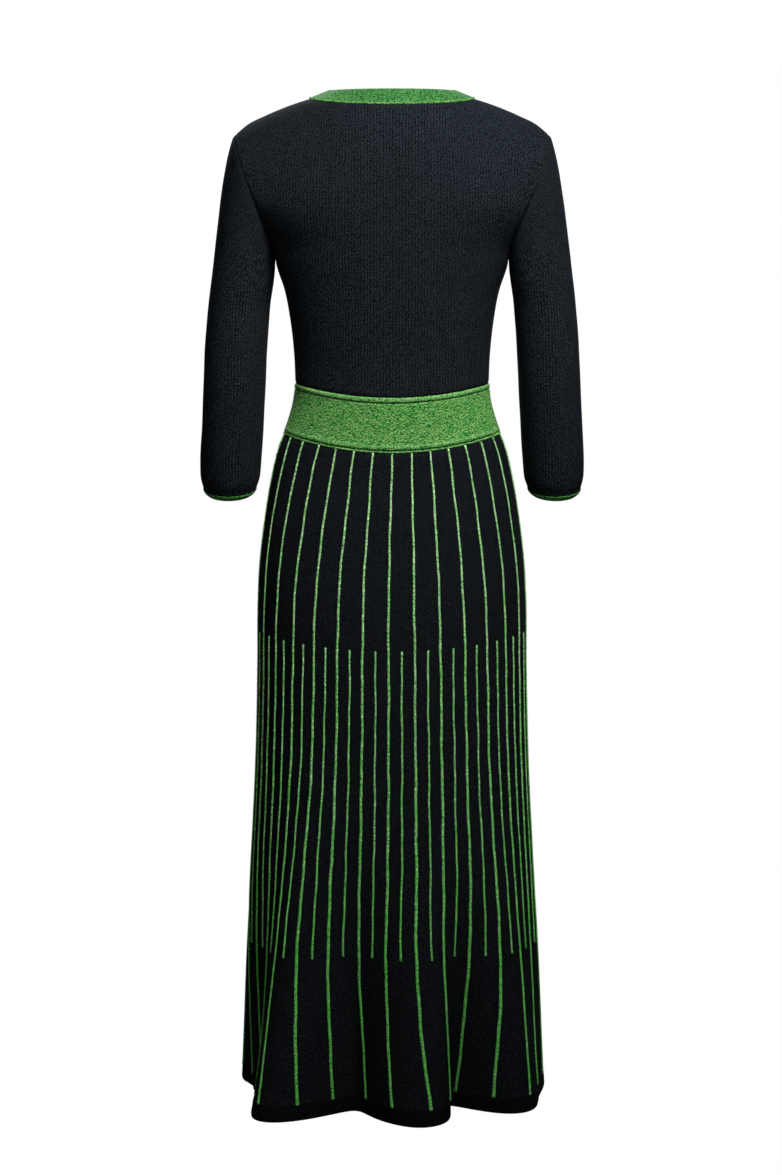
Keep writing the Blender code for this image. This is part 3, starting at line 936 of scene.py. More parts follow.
def change_faces(mesh: bpy.types.Mesh, finish: KnitFinish, changed: np.ndarray) -> None:
    """Gives some faces of a mesh another finish.

    Args:
        mesh: the mesh.
        finish: the other finish.
        changed: true or false for each face, or for each whole row of a sheet's faces.
    """
    mesh.materials.append(finish.material())
    slots = np.repeat(changed.astype(np.int32), len(mesh.polygons) // len(changed))
    mesh.polygons.foreach_set("material_index", slots)


def place(
    piece: bpy.types.Object, node: str, slot: str, cut: Cut, with_pieces: tuple = ()
) -> bpy.types.Object:
    """Sets a finished sheet of knit in the frame.

    Args:
        piece: the sheet's object.
        node: the solid that it stands for.
        slot: the record's material slot; not used.
        cut: its flat size.
        with_pieces: what is knitted onto it.

    Returns:
        The same object.
    """
    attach(piece, BODY)
    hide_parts(node)
    list(with_pieces)
    count = len(piece.data.vertices)
    LOG.info("%s: %d points, cut %.3f by %.3f m, %.4f m2", piece.name, count, cut.width, cut.length, cut.area)
    return piece


# ---- The dress ----


def armhole_edge(side: Side) -> np.ndarray:
    """The armhole edge on the wearer's left, from the underarm to the shoulder tip.

    Args:
        side: the panel that it is cut into.

    Returns:
        The edge's points.
    """
    if side is Side.BACK:
        return np.array([(row.back_x, row.back_y, row.z) for row in ARMHOLE])
    return np.array([(row.front_x, -row.front_y, row.z) for row in ARMHOLE])


def neck_edge(neck: Neck, side: Side) -> np.ndarray:
    """One edge of the neckband round half the neck, from the wearer's right to the left.

    Args:
        neck: which edge of the band.
        side: which half.

    Returns:
        The edge's points.
    """
    turn = np.radians(np.linspace(-90.0, 90.0, 2 * NECK_STEPS + 1))
    parts = ("y", "z", "round", "drop")
    y, z, roundness, drop = (getattr(neck, f"{side.name.lower()}_{part}") for part in parts)
    height = neck.side_z + (z - neck.side_z) * flattened(turn, drop)
    return np.stack([neck.half_width * np.sin(turn), side.value * y * flattened(turn, roundness), height], -1)


@dataclass
class Bodice:
    """The back and front bodice, from the waistband to the shoulder seams and the neckline.

    Above the chest the rows climb, with a lean at the front, and then go over the shoulders.
    """

    form: WornForm
    half_steps: int = 12
    chest_row: int = 4
    rows: int = 104
    columns: int = 132
    low_levels: tuple[float, ...] = (BAND_TOP, -0.298, -0.262, -0.225)
    front_lean: float = 0.22
    climb: float = 1.15
    over_back: float = 1.9
    over_up: float = 0.02
    neck_power: float = 1.2

    def coarse(self, side: Side) -> np.ndarray:
        """The panel's coarse grid: level rows up to the chest, then rows that run on over the shoulders.

        Args:
            side: which panel.

        Returns:
            The grid, from the waistband up.
        """
        half, places = self.half_steps, np.arange(-self.half_steps, self.half_steps + 1)
        quarter = math.pi / 2
        rows = [self.form.outline(side, places / half * quarter, z) for z in self.low_levels]
        edge = armhole_edge(side)
        for number, (x, y, z) in enumerate(edge[: self.chest_row + 1]):
            centre = getattr(ARMHOLE[number], f"{side.name.lower()}_centre")
            power, share = ARMHOLE[number].round, number / self.chest_row
            widest = math.acos((abs(y) / centre) ** (1 / power))
            around = np.arcsin(np.sin(places / half * quarter) * math.sin(widest))
            angle = (1 - share) * around + share * places / half * widest
            across = x * np.sin(angle) / math.sin(widest)
            outward = side.value * centre * flattened(angle, power)
            row = np.stack([across, outward, np.full(angle.shape, z)], -1)
            row[[0, -1]] = (x, y, z) * np.array([(-1, 1, 1), (1, 1, 1)])
            rows.append(row)
        rows += self._above_chest(side, rows[-1], edge)
        rows = np.array(rows)
        rows[self.chest_row + 5 : -1] = self._relaxed(rows[self.chest_row + 5 : -1])
        return rows

    def _above_chest(self, side: Side, chest: np.ndarray, edge: np.ndarray) -> list[np.ndarray]:
        """The coarse rows above the chest row, which close in on the neckline and the shoulder seams.

        Args:
            side: which panel.
            chest: the chest row's points.
            edge: the armhole edge on the wearer's left.

        Returns:
            The rows, from the lowest up.
        """
        half = self.half_steps
        top, toward_neck = np.zeros_like(chest), np.zeros_like(chest)
        at_neck = slice(half - NECK_STEPS, half + NECK_STEPS + 1)
        top[at_neck] = neck_edge(NECK_SEAM, side)
        toward_neck[at_neck] = unit(neck_edge(NECK_RIM, side) - neck_edge(NECK_SEAM, side))
        for step, (x, z) in enumerate(SHOULDER_SEAM):
            top[half + NECK_STEPS + step] = (x, 0.0, z)
            top[half - NECK_STEPS - step] = (-x, 0.0, z)
        rise = top - chest
        lean = 0.0 if side is Side.BACK else self.front_lean
        leaving = np.stack([rise[:, 0], lean * rise[:, 2], self.climb * rise[:, 2]], -1)
        over = np.stack([rise[:, 0], self.over_back * rise[:, 1], self.over_up * rise[:, 2]], -1)
        share = np.clip(np.abs(np.arange(-half, half + 1)) / NECK_STEPS, 0.0, 1.0)[:, None] ** self.neck_power
        arriving = share * over + (1 - share) * toward_neck * np.linalg.norm(rise, axis=1)[:, None]
        edge = edge[self.chest_row :]
        run = np.concatenate([[0.0], np.cumsum(np.linalg.norm(np.diff(edge, axis=0), axis=1))])
        rows = []
        for number, reached in enumerate(run[1:] / run[-1], 1):
            row = curve_between(chest, top, leaving, arriving, reached)
            row[-1], row[0] = edge[number], edge[number] * (-1, 1, 1)
            rows.append(row)
        return rows

    def _relaxed(self, rows: np.ndarray, passes: int = 12) -> np.ndarray:
        """Rows of points eased along their length with their ends held, and let out to keep their size.

        Args:
            rows: the rows.
            passes: how many times they are eased.

        Returns:
            The same rows.
        """
        for _ in range(passes):
            for strength in (0.5, -0.51):
                rows[:, 1:-1] += strength * ((rows[:, :-2] + rows[:, 2:]) / 2 - rows[:, 1:-1])
        return rows

    def build(self, side: Side) -> bpy.types.Object:
        """Makes one panel and sets it in the frame.

        Args:
            side: which panel.

        Returns:
            The panel.
        """
        corners = (self.half_steps - NECK_STEPS, self.half_steps + NECK_STEPS)
        sheet = Sheet(refined(self.coarse(side), self.rows, self.columns, corners=corners))
        inside = np.min([sheet.from_edge(edge) for edge in Edge], axis=0)
        held = np.clip(inside / HELD_MARGIN, 0.0, 1.0)
        sheet.raise_by(held * (self.form.swell(side, sheet.points) + self.form.ripple(sheet.points)))
        for edge in Edge:
            sheet.sink(edge)
        name = f"bodice_{side.name.lower()}"
        return place(sheet.build(f"{name}_knit", BLACK_KNIT), name, "black_knit", sheet.cut)


@dataclass
class Sleeves:
    """The two set-in three-quarter sleeves, each with its cap and its arm, and the green tipping."""

    form: WornForm
    cap_steps: tuple[float, ...] = (0.0, 0.07, 0.17, 0.31, 0.50, 0.74)
    cap_out: float = 0.24
    cap_back: float = 0.25
    cap_ease: float = 0.35
    arm_out: float = 0.12
    arm_back: float = 0.5
    arm_down: float = 0.95
    rows: int = 120
    columns: int = 100
    seam_depth: float = 1.1 * MM
    seam_width: float = 2.2 * MM
    allowance: float = 5.0 * MM
    allowance_step: float = 1.8 * MM
    turned_in: float = 3.0 * MM
    turned_length: float = 9.0 * MM
    turned_held: float = 20.0 * MM
    cuff_depth: float = 7.4 * MM
    cuff_thickness: float = 1.9 * MM
    cuff_overlap: float = 0.9 * MM
    cuff_lean: float = 0.75
    cuff_flare: float = 0.03
    cuff_knit: float = 0.8 * MM
    cuff_turn: tuple[float, float] = (62.0, -250.0)
    cuff_rows: int = 26
    cuff_columns: int = 140

    def turn(self) -> np.ndarray:
        """The coarse turns round a sleeve: from the underarm past the back to the outside and on."""
        count = len(ARMHOLE) - 1
        return np.arange(2 * count) / count * math.pi

    def ring(self, z: float) -> np.ndarray:
        """One coarse level of the left sleeve.

        Args:
            z: the level.

        Returns:
            The level's points.
        """
        names = ("x", "y", "half_width", "half_depth", "tip_degrees")
        x, y, half_width, half_depth, tip = (column(SLEEVE_LEVELS, name, z) for name in names)
        back = half_depth * np.sin(self.turn())
        across = x - half_width * np.cos(self.turn())
        return np.stack([across, y + back, z - math.tan(math.radians(tip)) * back], -1)

    def coarse(self) -> np.ndarray:
        """The left sleeve's coarse grid, from the armhole to the tipping.

        Returns:
            The grid, rows by columns by three.
        """
        hole = np.concatenate([armhole_edge(Side.BACK), armhole_edge(Side.FRONT)[-2:0:-1]])
        ring = self.ring(SLEEVE_LEVELS[0].z)
        outside = (1 - np.cos(self.turn())) / 2
        drop, back = np.linalg.norm(ring - hole, axis=1), (ring - hole)[:, 1]
        eased = -(1.0 - self.cap_ease * outside) * drop
        leaving = np.stack([self.cap_out * outside * drop, self.cap_back * back, eased], -1)
        arriving = np.stack([self.arm_out * drop, self.arm_back * back, -self.arm_down * drop], -1)
        rows = [curve_between(hole, ring, leaving, arriving, step) for step in self.cap_steps]
        return np.array(rows + [self.ring(row.z) for row in SLEEVE_LEVELS])

    def build(self, hand: Hand) -> bpy.types.Object:
        """Makes one sleeve and sets it in the frame.

        Args:
            hand: which sleeve.

        Returns:
            The sleeve.
        """
        points = refined(self.coarse(), self.rows, self.columns, wraps=True)
        sheet = Sheet(points * (hand.value, 1, 1), wraps=True)
        held = np.clip(sheet.from_edge(Edge.FIRST_ROW) / HELD_MARGIN, 0.0, 1.0)
        held = held * np.clip(sheet.from_edge(Edge.LAST_ROW) / self.turned_held, 0.0, 1.0)
        sheet.raise_by(held * self.form.ripple(sheet.points))
        sheet.sink(Edge.FIRST_ROW, self.seam_depth, self.seam_width)
        sheet.sink(Edge.LAST_ROW, self.turned_in, self.turned_length)
        edge = sheet.points[0]
        inward = unit((edge.mean(0) - edge) * (0, 1, 1))
        tuck = edge + (-self.allowance * hand.value, 0, 0) + self.allowance_step * inward
        name = f"sleeve_{hand.name.lower()}"
        return place(sheet.build(f"{name}_knit", BLACK_KNIT, tuck=tuck), name, "black_knit", sheet.cut)

    def build_tipping(self, hand: Hand) -> bpy.types.Object:
        """Makes one sleeve's narrow tubular tipping, turned in at the sleeve's end, and sets it in the frame.

        Args:
            hand: which sleeve's.

        Returns:
            The tipping.
        """
        tip = math.radians(SLEEVE_LEVELS[-1].tip_degrees)
        down = np.array([self.cuff_flare, -math.sin(tip), -math.cos(tip)])
        ring = self.ring(SLEEVE_LEVELS[-1].z)
        rings = np.array([ring, ring + down * self.cuff_depth])
        tube = Sheet(refined(rings, 2, self.cuff_columns, wraps=True), wraps=True)
        # Round the tube's squared-off section, which leans out more and more toward its foot.
        turn = np.radians(np.linspace(*self.cuff_turn, self.cuff_rows))
        lower = self.cuff_depth / 2 * (1 - squarer(np.sin(turn), 0.8)) - self.cuff_overlap
        outer = self.cuff_thickness / 2 * (squarer(np.cos(turn), 0.75) - 0.6) - self.turned_in
        outer -= self.cuff_lean * np.maximum(lower, 0.0) ** 1.6 / self.cuff_depth**0.6
        points = tube.points[0] + down * lower[:, None, None] + tube.out[0] * outer[:, None, None]
        name = f"cuff_trim_{hand.name.lower()}"
        sheet = Sheet(points * (hand.value, 1, 1), wraps=True)
        return place(sheet.build(f"{name}_knit", DARK_MARL, self.cuff_knit), name, "green_knit", sheet.cut)


@dataclass
class Neckband:
    """The flat green band round the neck, with a thin bead along its sewn edge and a turned rim."""

    shares: tuple[float, ...] = (-0.05, 0.5, 1.0)
    rows: int = 34
    columns: int = 224
    bead_width: float = 2.6 * MM
    bead_height: float = 1.0 * MM
    groove_width: float = 0.5 * MM
    groove_depth: float = 0.35 * MM
    rim_width: float = 1.6 * MM
    rim_depth: float = 0.9 * MM
    fullness: float = 0.25 * MM
    allowance: float = 2.2 * MM

    def build(self) -> bpy.types.Object:
        """Makes the band and sets it in the frame.

        Returns:
            The band.
        """
        seam, rim = (
            np.concatenate([neck_edge(neck, Side.BACK), neck_edge(neck, Side.FRONT)[-2:0:-1]])
            for neck in (NECK_SEAM, NECK_RIM)
        )
        coarse = np.array([seam + (rim - seam) * share for share in self.shares])
        sheet = Sheet(refined(coarse, self.rows, self.columns, wraps=True), wraps=True)
        up = sheet.from_edge(Edge.FIRST_ROW)
        bead = self.bead_height * np.sqrt(np.clip(1 - (2 * up / self.bead_width - 1) ** 2, 0.0, 1.0))
        groove = -self.groove_depth * hump(up - self.bead_width - self.groove_width, self.groove_width)
        turned = -self.rim_depth * hump(sheet.from_edge(Edge.LAST_ROW), self.rim_width)
        sheet.raise_by(bead + groove + turned + self.fullness)
        piece = sheet.build("neckband_knit", SHADED_NECK_MARL, tuck=sheet.points[0] - self.allowance * sheet.out[0])
        # The bead keeps the band's plain marl; only the rest of the neckband has the neck marl's painted
        # shade.
        change_faces(piece.data, GREEN_MARL, up.mean(1) < self.bead_width)
        return place(piece, "neckband", "green_knit", sheet.cut)


@dataclass
class Waistband:
    """The wide green band: a rolled edge at its top, another near its foot, and the lip of its lower seam.

    A seam is a depth and a width. The crests are the part of each roll that takes the painted highlight: its
    middle and half its width.
    """

    form: WornForm
    columns: int = 230
    roll_rows: int = 26
    middle_rows: int = 16
    foot_rows: int = 32
    fullness: float = 0.8 * MM
    side_fullness: float = 0.5
    roll_width: float = 5.0 * MM
    roll_height: float = 0.75 * MM
    roll_power: float = 0.55
    side_roll: float = 0.25
    fades_from: float = 0.6
    groove_width: float = 1.6 * MM
    groove_depth: float = 1.5 * MM
    lip_height: float = 1.8 * MM
    foot_margin: float = 0.5 * MM
    top_seam: tuple[float, float] = (1.3 * MM, 0.9 * MM)
    foot_seam: tuple[float, float] = (1.2 * MM, 0.6 * MM)
    side_seam: tuple[float, float] = (0.5 * MM, 1.6 * MM)
    crests: tuple[tuple[float, float], ...] = ((2.2 * MM, 1.8 * MM), (1.4 * MM, 1.0 * MM))
    ripple_share: float = 0.6
    seed: int = 7

    def lower_roll(self) -> float:
        """How far below the band's top edge its lower roll starts."""
        return BAND_TOP - BAND_BOTTOM - self.lip_height - self.groove_width - self.roll_width

    def profile(self, down: np.ndarray) -> np.ndarray:
        """How far the band stands out at each distance down from its top edge.

        Args:
            down: distances down from the top edge.

        Returns:
            A height for each of them.
        """
        rise = np.full(down.shape, self.fullness)
        for start in (0.0, self.lower_roll()):
            from_middle = (down - start) / (self.roll_width / 2) - 1
            rise += self.roll_height * np.clip(1 - from_middle**2, 0.0, 1.0) ** self.roll_power
            half = self.groove_width / 2
            rise -= self.groove_depth * hump(down - start - self.roll_width - half, half)
        seams = ((down, self.top_seam), (BAND_TOP - BAND_BOTTOM - down, self.foot_seam))
        for distance, (depth, width) in seams:
            rise = rise - depth * hump(distance, width)
        return rise

    def gets_painted_highlight(self, down: np.ndarray) -> np.ndarray:
        """Whether each distance down takes the painted highlight: the crest of a roll, or the lip at the foot.

        Args:
            down: distances down from the top edge.

        Returns:
            True or false for each of them.
        """
        pale = down > BAND_TOP - BAND_BOTTOM - self.lip_height
        for start, (middle, half_width) in zip((0.0, self.lower_roll()), self.crests):
            pale = pale | (np.abs(down - start - middle) < half_width)
        return pale

    def levels(self) -> np.ndarray:
        """Distances down from the top edge, close together over the rolls and grooves.

        Returns:
            The distances, from the top.
        """
        roll, foot = self.roll_width + 2 * self.groove_width, self.lower_roll() - self.foot_margin
        middle = np.linspace(roll, foot, self.middle_rows)[1:-1]
        last = np.linspace(foot, BAND_TOP - BAND_BOTTOM, self.foot_rows)
        return np.concatenate([np.linspace(0, roll, self.roll_rows), middle, last])

    def build(self, side: Side) -> bpy.types.Object:
        """Makes one half of the band and sets it in the frame.

        Args:
            side: which half.

        Returns:
            That half.
        """
        down, places = self.levels(), np.linspace(-1.0, 1.0, self.columns)
        sheet = Sheet(np.array([self.form.level(side, places, BAND_TOP - d) for d in down]))
        eased = np.clip((1 - np.abs(places)) / (1 - self.fades_from), 0.0, 1.0) ** 0.5
        rolls = (self.profile(down) - self.fullness)[:, None]
        fullness = self.fullness * (self.side_fullness + (1 - self.side_fullness) * eased)
        relief = fullness + rolls * (self.side_roll + (1 - self.side_roll) * eased)
        sheet.raise_by(relief + self.ripple_share * self.form.ripple(sheet.points))
        for edge in (Edge.FIRST_COLUMN, Edge.LAST_COLUMN):
            sheet.sink(edge, *self.side_seam)
        name = f"waistband_{side.name.lower()}"
        piece = sheet.build(f"{name}_knit", GREEN_MARL)
        # Painted highlight: the roll crests and the lip take the paler roll marl, thinning out at random
        # toward the side seams, where the band turns from the light.
        crest = self.gets_painted_highlight((down[1:] + down[:-1]) / 2)[:, None]
        fading = np.clip((np.abs(places[1:]) - self.fades_from) / (1 - self.fades_from), 0.0, 1.0)
        draw = np.random.default_rng(side.value + self.seed)
        pale = crest & (draw.random((len(down) - 1, self.columns - 1)) > fading)
        change_faces(piece.data, ROLL_HIGHLIGHT_MARL, pale.ravel())
        return place(piece, name, "green_knit", sheet.cut)


class CordKind(Enum):
    """The two kinds of raised cord: half the width at the top and its gain by the hem, in millimetres."""

    LONG = (1.15, 0.85)
    SHORT = (1.02, 0.30)


@dataclass
class Cords:
    """The raised green cords of the skirt, in even steps from the centre out to the side seams.

    A wave is how far it goes to each side, in millimetres, and its length. A knob is a share, a place and
    a width.
    """

    form: WornForm
    rib_steps: int = 15
    step: float = 2.5 * MM
    sides: int = 8
    height: float = 1.15 * MM
    root: float = 0.7 * MM
    tip: float = 0.3
    starts_below: float = 0.2 * MM
    girth: float = 6.6 * MM
    beside: float = 0.004
    flare_length: float = 0.75
    flare_heights: tuple[float, float] = (0.9, 0.2)
    waves: tuple[tuple[float, float], ...] = ((0.30, 0.019), (0.22, 0.0083))
    lumps: tuple[float, float] = (0.05, 0.0041)
    unevenness: float = 0.04
    foot_knob: tuple[float, float, float] = (1.0, 0.9 * MM, 1.5 * MM)
    head_knob: tuple[float, float, float] = (0.6, 1.2 * MM, 1.3 * MM)
    knob_wider: float = 0.55
    knob_higher: float = 0.20
    map_step: float = 0.01
    # Heights over which the cords' painted sheen gives way to their plain marl.
    sheen_from: float = -0.45
    sheen_to: float = -0.98
    seeds: tuple[int, int] = (41, 42)

    def build(self, side: Side) -> bpy.types.Object:
        """Makes all the raised cords of one half as closed strips, part sunk in the knit.

        Args:
            side: which half.

        Returns:
            The cords, as one piece.
        """
        draw = np.random.default_rng(self.seeds[0 if side is Side.BACK else 1])
        steps = np.arange(1 - self.rib_steps, self.rib_steps)
        count = int((BAND_BOTTOM - LONG_RIB_FOOT) / self.step)
        heights = np.linspace(BAND_BOTTOM - self.starts_below, LONG_RIB_FOOT, count)
        offsets = np.array([-self.beside, 0.0, self.beside])
        places = (steps[:, None] / self.rib_steps + offsets).ravel()
        lines = np.array([self.form.skirt_level(side, places, z) for z in heights])
        lines = lines.reshape(len(heights), len(steps), 3, 3)
        points, faces, maps = [], [], []
        for number, step in enumerate(steps):
            kind = CordKind.LONG if step % 2 == 0 else CordKind.SHORT
            top, foot = SHORT_RIB_TOP, SHORT_RIB_FOOT
            if kind is CordKind.LONG:
                top, foot = heights[0], LONG_RIB_FOOT
            at = np.linspace(foot, top, int((top - foot) / self.step))
            beside = hermite(lines[::-1, number], heights[::-1], at)[::-1]
            ring, flat = self._cord(beside, at[::-1], kind, draw)
            self._add_tube(ring, flat + (self.map_step * number, 0.0), points, faces, maps)
        name = f"skirt_{side.name.lower()}_cords"
        piece = knitted(name, np.concatenate(points), faces, np.array(maps), SHEEN_CORD_MARL)
        mesh = piece.data
        # Painted sheen: the upper cords keep the paler marl, and lower down more and more of their faces,
        # drawn at random, take the plain cord marl.
        middles = np.zeros(3 * len(mesh.polygons), np.float32)
        mesh.polygons.foreach_get("center", middles)
        unsheened_share = (self.sheen_from - middles[2::3]) / (self.sheen_from - self.sheen_to)
        change_faces(mesh, CORD_MARL, draw.random(len(mesh.polygons)) < unsheened_share)
        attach(piece, BODY)
        LOG.info("%s: %d points", name, len(mesh.vertices))
        return piece

    def _cord(
        self, beside: np.ndarray, heights: np.ndarray, kind: CordKind, draw: np.random.Generator
    ) -> tuple[np.ndarray, np.ndarray]:
        """The rings of points round one cord.

        Args:
            beside: points just to its right, on its middle and just to its left, level by level.
            heights: those levels, from the top.
            kind: long or short.
            draw: the source of its slight unevenness.

        Returns:
            The rings, levels by points by three, and the map's places, levels by points by two.
        """
        centre, lateral = beside[:, 1], unit(beside[:, 2] - beside[:, 0])
        out = unit(np.cross(lateral, unit(np.gradient(centre, axis=0))))
        if (out * centre * (1, 1, 0)).sum() < 0:
            out = -out
        run = np.concatenate([[0.0], np.cumsum(np.linalg.norm(np.diff(centre, axis=0), axis=1))])
        phase = draw.uniform(0, 2 * math.pi, 4)
        waves = zip(self.waves, phase)
        wander = sum(reach * np.sin(run / length + start) for (reach, length), start in waves)
        reach, length = self.lumps
        lumps = 1 + reach * np.sin(run / length + phase[2]) + self.unevenness * draw.standard_normal(len(run))
        flare = np.clip((BAND_BOTTOM - heights) / self.flare_length, 0.0, 1.0)
        slim, gain = kind.value
        width = (slim + gain * flare) * MM
        share, place, reach = self.foot_knob
        knob = share * hump(run[-1] - run - place, reach)
        if kind is CordKind.SHORT:
            share, place, reach = self.head_knob
            knob = knob + share * hump(run - place, reach)
        half = width * lumps * (1 + self.knob_wider * knob)
        least, gain = self.flare_heights
        high = self.height * (least + gain * flare) * (1 + self.knob_higher * knob)
        turn = np.linspace(0, 2 * math.pi, self.sides, endpoint=False) + math.pi / self.sides
        sideways = np.cos(turn)[None] * half[:, None] + (wander * MM)[:, None]
        rise = np.sin(turn)[None]
        upward = np.where(rise > 0, rise * high[:, None], rise * self.root)
        ring = centre[:, None] + lateral[:, None] * sideways[..., None] + out[:, None] * upward[..., None]
        around = np.arange(self.sides + 1) / self.sides * self.girth
        shape = (len(run), self.sides + 1)
        return ring, np.stack([np.broadcast_to(around, shape), np.broadcast_to(run[:, None], shape)], -1)

    def _add_tube(self, ring: np.ndarray, flat: np.ndarray, points: list, faces: list, maps: list) -> None:
        """Adds one closed tube, with rounded ends, to the lists of a mesh.

        Args:
            ring: the tube's rings of points, levels by points by three.
            flat: its places on the map, levels by points by two.
            points: the mesh's blocks of points so far.
            faces: its faces so far.
            maps: its map places so far, one to a face's corner.
        """
        levels, sides = ring.shape[:2]
        start = sum(len(block) for block in points)
        pairs = ((ring[0], ring[1]), (ring[-1], ring[-2]))
        ends = [end.mean(0) + (end - before).mean(0) * self.tip for end, before in pairs]
        points.append(np.concatenate([ring.reshape(-1, 3), ends]))
        index = start + np.arange(levels * sides).reshape(levels, sides)
        after = np.roll(index, -1, 1)
        quads = np.stack([index[:-1], index[1:], after[1:], after[:-1]], -1).reshape(-1, 4)
        faces.extend(quads.tolist())
        places = np.stack([flat[:-1, :-1], flat[1:, :-1], flat[1:, 1:], flat[:-1, 1:]], 2)
        maps.extend(places.reshape(-1, 2).tolist())
        first_tip = start + levels * sides
        for tip, level, turned in ((first_tip, 0, False), (first_tip + 1, levels - 1, True)):
            for side in range(sides):
                pair = [int(index[level, side]), int(after[level, side])]
                spots = [flat[level, side].tolist(), flat[level, side + 1].tolist()]
                faces.append([tip, *(pair[::-1] if turned else pair)])
                maps.extend([spots[0], *(spots[::-1] if turned else spots)])


@dataclass
class Skirt:
    """The two A-line skirt halves with their raised cords and plain hem. A seam is a depth and a width."""

    form: WornForm
    cords: Cords
    rows: int = 168
    columns: int = 216
    side_crowding: float = 0.15
    ripple_share: float = 0.5
    top_seam: tuple[float, float] = (0.7 * MM, 1.6 * MM)
    side_seam: tuple[float, float] = (0.7 * MM, 2.0 * MM)
    hem_rows: int = 22
    hem_rows_from: tuple[float, float] = (4.0 * MM, 3.2 * MM)
    hem_rise: float = 0.45 * MM
    hem_depth: float = 16.8 * MM
    hem_step: float = 0.5 * MM
    hem_face: float = 17.0 * MM
    fold_depth: float = 0.8 * MM
    fold_width: float = 1.2 * MM

    def build(self, side: Side) -> bpy.types.Object:
        """Makes one half with its cords and sets it in the frame.

        Args:
            side: which half.

        Returns:
            That half.
        """
        last, first = self.hem_rows_from
        above_hem = np.linspace(BAND_BOTTOM, LONG_RIB_FOOT + last, self.rows - self.hem_rows)
        heights = np.concatenate([above_hem, np.linspace(LONG_RIB_FOOT + first, HEM, self.hem_rows)])
        places = 2 * crowded(self.columns, self.side_crowding) - 1
        sheet = Sheet(np.array([self.form.skirt_level(side, places, z) for z in heights]))
        up = heights - HEM
        hem = self.hem_rise / (1 + np.exp(np.clip((up - self.hem_depth) / self.hem_step, -40, 40)))
        turned = -self.fold_depth * hump(up, self.fold_width)
        sheet.raise_by((hem + turned)[:, None] + self.ripple_share * self.form.ripple(sheet.points))
        sheet.sink(Edge.FIRST_ROW, *self.top_seam)
        for edge in (Edge.FIRST_COLUMN, Edge.LAST_COLUMN):
            sheet.sink(edge, *self.side_seam)
        name = f"skirt_{side.name.lower()}"
        piece = sheet.build(f"{name}_knit", SHADED_SKIRT_KNIT)
        change_faces(piece.data, HEM_KNIT, heights[1:] < HEM + self.hem_face)
        return place(piece, name, "black_knit", sheet.cut, (self.cords.build(side),))


# ---- The studio ----


@dataclass(frozen=True)
class Softbox:
    """A square soft light: its place, aim and size, its power in watts and its grid's angle in degrees."""

    name: str
    place: tuple[float, float, float]
    aim: tuple[float, float, float]
    size: float
    power: float
    spread: float


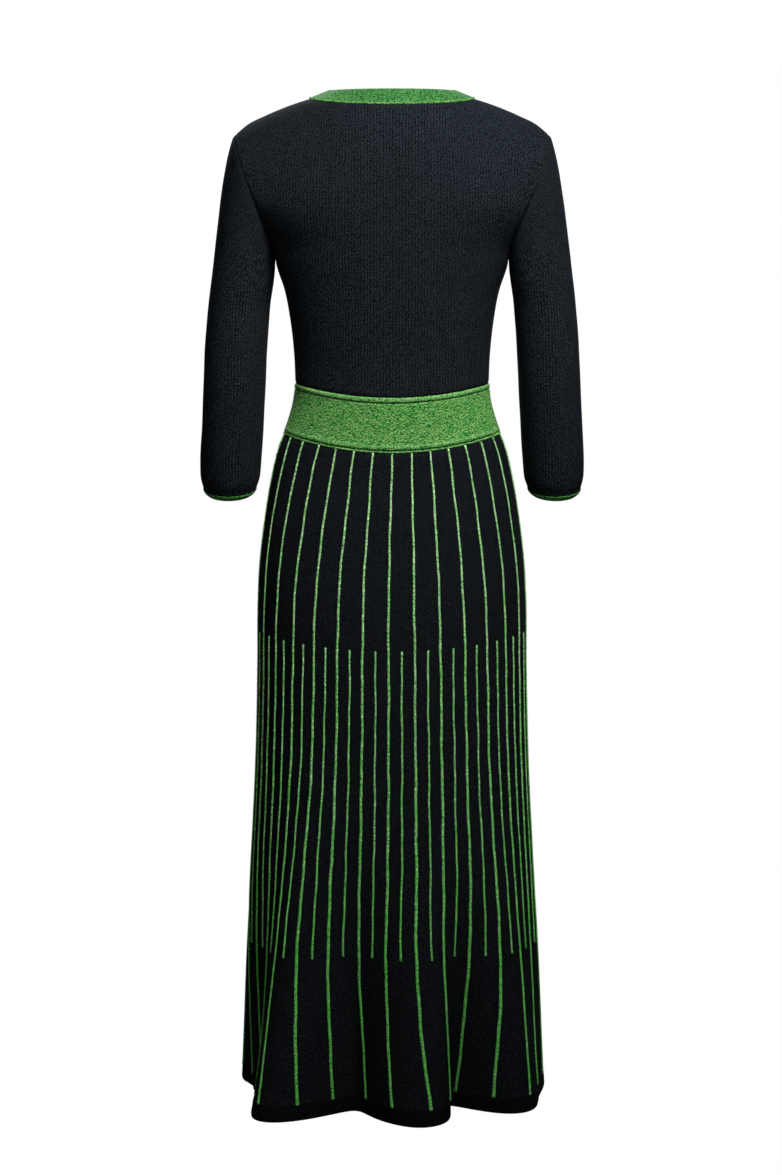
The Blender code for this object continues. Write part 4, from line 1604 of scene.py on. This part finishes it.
@dataclass
class Studio:
    """The pale floor and background, the soft lights and the camera."""

    floor_z: float = -2.0
    floor_radius: float = 2.2
    floor_sides: int = 96
    floor_shade: float = 0.8
    floor_seen: float = 0.82
    fades_from: float = 0.25
    fades_to: float = 0.98
    camera_distance: float = 3.8
    camera_elevation: float = 6.0
    camera_x: float = 0.0012
    camera_aim_z: float = -0.565
    lens: float = 100.0
    sensor_width: float = 36.0
    room_light: float = 0.05
    room_colour: tuple[float, ...] = (0.94, 0.97, 1.0, 1.0)
    softboxes: tuple[Softbox, ...] = (
        Softbox("key", (-0.58, 1.06, 1.30), (0.0, 0.0, -0.22), 0.7, 10.9, 57.0),
        Softbox("fill", (0.8, 2.3, 0.5), (0.0, 0.0, -0.25), 1.2, 2.0, 66.0),
        Softbox("front_key", (0.45, -1.60, 1.00), (0.0, 0.0, -0.25), 0.8, 17.0, 80.0),
        Softbox("front_fill", (-0.7, -2.3, 0.1), (0.0, 0.0, -0.45), 1.5, 11.0, 110.0),
    )

    def build(self) -> None:
        """Makes the whole studio."""
        self._room()
        self._floor()
        for box in self.softboxes:
            self._light(box)
        self._camera()
        bpy.context.scene.view_settings.view_transform = "Standard"

    def _room(self) -> None:
        """A plain white background that gives the dress only a little light."""
        world = bpy.data.worlds.new("studio")
        wiring = Wiring(world)
        given = wiring.node("ShaderNodeBackground", {"Color": self.room_colour, "Strength": self.room_light})
        seen = wiring.node("ShaderNodeBackground", {"Color": (1.0, 1.0, 1.0, 1.0)})
        wiring.node("ShaderNodeOutputWorld", {"Surface": wiring.by_ray(given, seen)})
        bpy.context.scene.world = world

    def _floor(self) -> None:
        """A round pale floor, plain and even to look at, that fades into the background at its edge."""
        turn = np.linspace(0, 2 * math.pi, self.floor_sides, endpoint=False)
        rim = np.stack([np.cos(turn), np.sin(turn), np.zeros(self.floor_sides)], -1) * self.floor_radius
        mesh = bpy.data.meshes.new("floor")
        mesh.from_pydata((rim + (0, 0, self.floor_z)).tolist(), [], [list(range(self.floor_sides))])
        material = bpy.data.materials.new("pale_floor")
        wiring = Wiring(material)
        place = wiring.node("ShaderNodeTexCoord").outputs["Object"]
        flat = wiring.node("ShaderNodeVectorMath", {0: place, 1: (1.0, 1.0, 0.0)}, operation="MULTIPLY")
        spot = wiring.node("ShaderNodeVectorMath", {0: flat.outputs["Vector"]}, operation="LENGTH")
        start, end = self.floor_radius * self.fades_from, self.floor_radius * self.fades_to
        reach = {"Value": spot.outputs["Value"], "From Min": start, "From Max": end}
        fade = wiring.node("ShaderNodeMapRange", reach, interpolation_type="SMOOTHSTEP")
        given = wiring.node("ShaderNodeBsdfDiffuse", {"Color": (*[self.floor_shade] * 3, 1.0)})
        seen = wiring.node("ShaderNodeEmission", {"Color": (*[self.floor_seen] * 3, 1.0)})
        clear = wiring.node("ShaderNodeBsdfTransparent").outputs[0]
        faded = {0: fade.outputs["Result"], 1: wiring.by_ray(given, seen), 2: clear}
        mix = wiring.node("ShaderNodeMixShader", faded)
        wiring.node("ShaderNodeOutputMaterial", {"Surface": mix.outputs[0]})
        mesh.materials.append(material)
        added("floor", mesh)

    def _light(self, box: Softbox) -> None:
        """One soft light, pointed at its aim.

        Args:
            box: the light's place, aim, size, power and grid.
        """
        data = bpy.data.lights.new(box.name, "AREA")
        data.shape, data.size = "SQUARE", box.size
        data.energy, data.spread = box.power, math.radians(box.spread)
        light = added(box.name, data)
        light.location = box.place
        light.rotation_euler = (Vector(box.aim) - Vector(box.place)).to_track_quat("-Z", "Y").to_euler()

    def _camera(self) -> None:
        """The camera, behind the dress and a little above its middle, as in the photograph."""
        data = bpy.data.cameras.new("camera")
        data.lens, data.sensor_width = self.lens, self.sensor_width
        camera = added("camera", data)
        lift = math.radians(self.camera_elevation)
        back = Vector((0.0, math.cos(lift), math.sin(lift)))
        camera.location = Vector((self.camera_x, 0.0, self.camera_aim_z)) + back * self.camera_distance
        camera.rotation_euler = (-back).to_track_quat("-Z", "Y").to_euler()
        bpy.context.scene.camera = camera


def main() -> None:
    """Loads the frame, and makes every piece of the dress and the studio."""
    logging.basicConfig(level=logging.INFO, format="%(name)s: %(message)s")
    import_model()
    form = WornForm()
    bodice, sleeves, waistband = Bodice(form), Sleeves(form), Waistband(form)
    skirt = Skirt(form, Cords(form))
    for side in Side:
        bodice.build(side)
        waistband.build(side)
        skirt.build(side)
    for hand in Hand:
        sleeves.build(hand)
        sleeves.build_tipping(hand)
    Neckband().build()
    Studio().build()


if __name__ == "__main__":
    main()
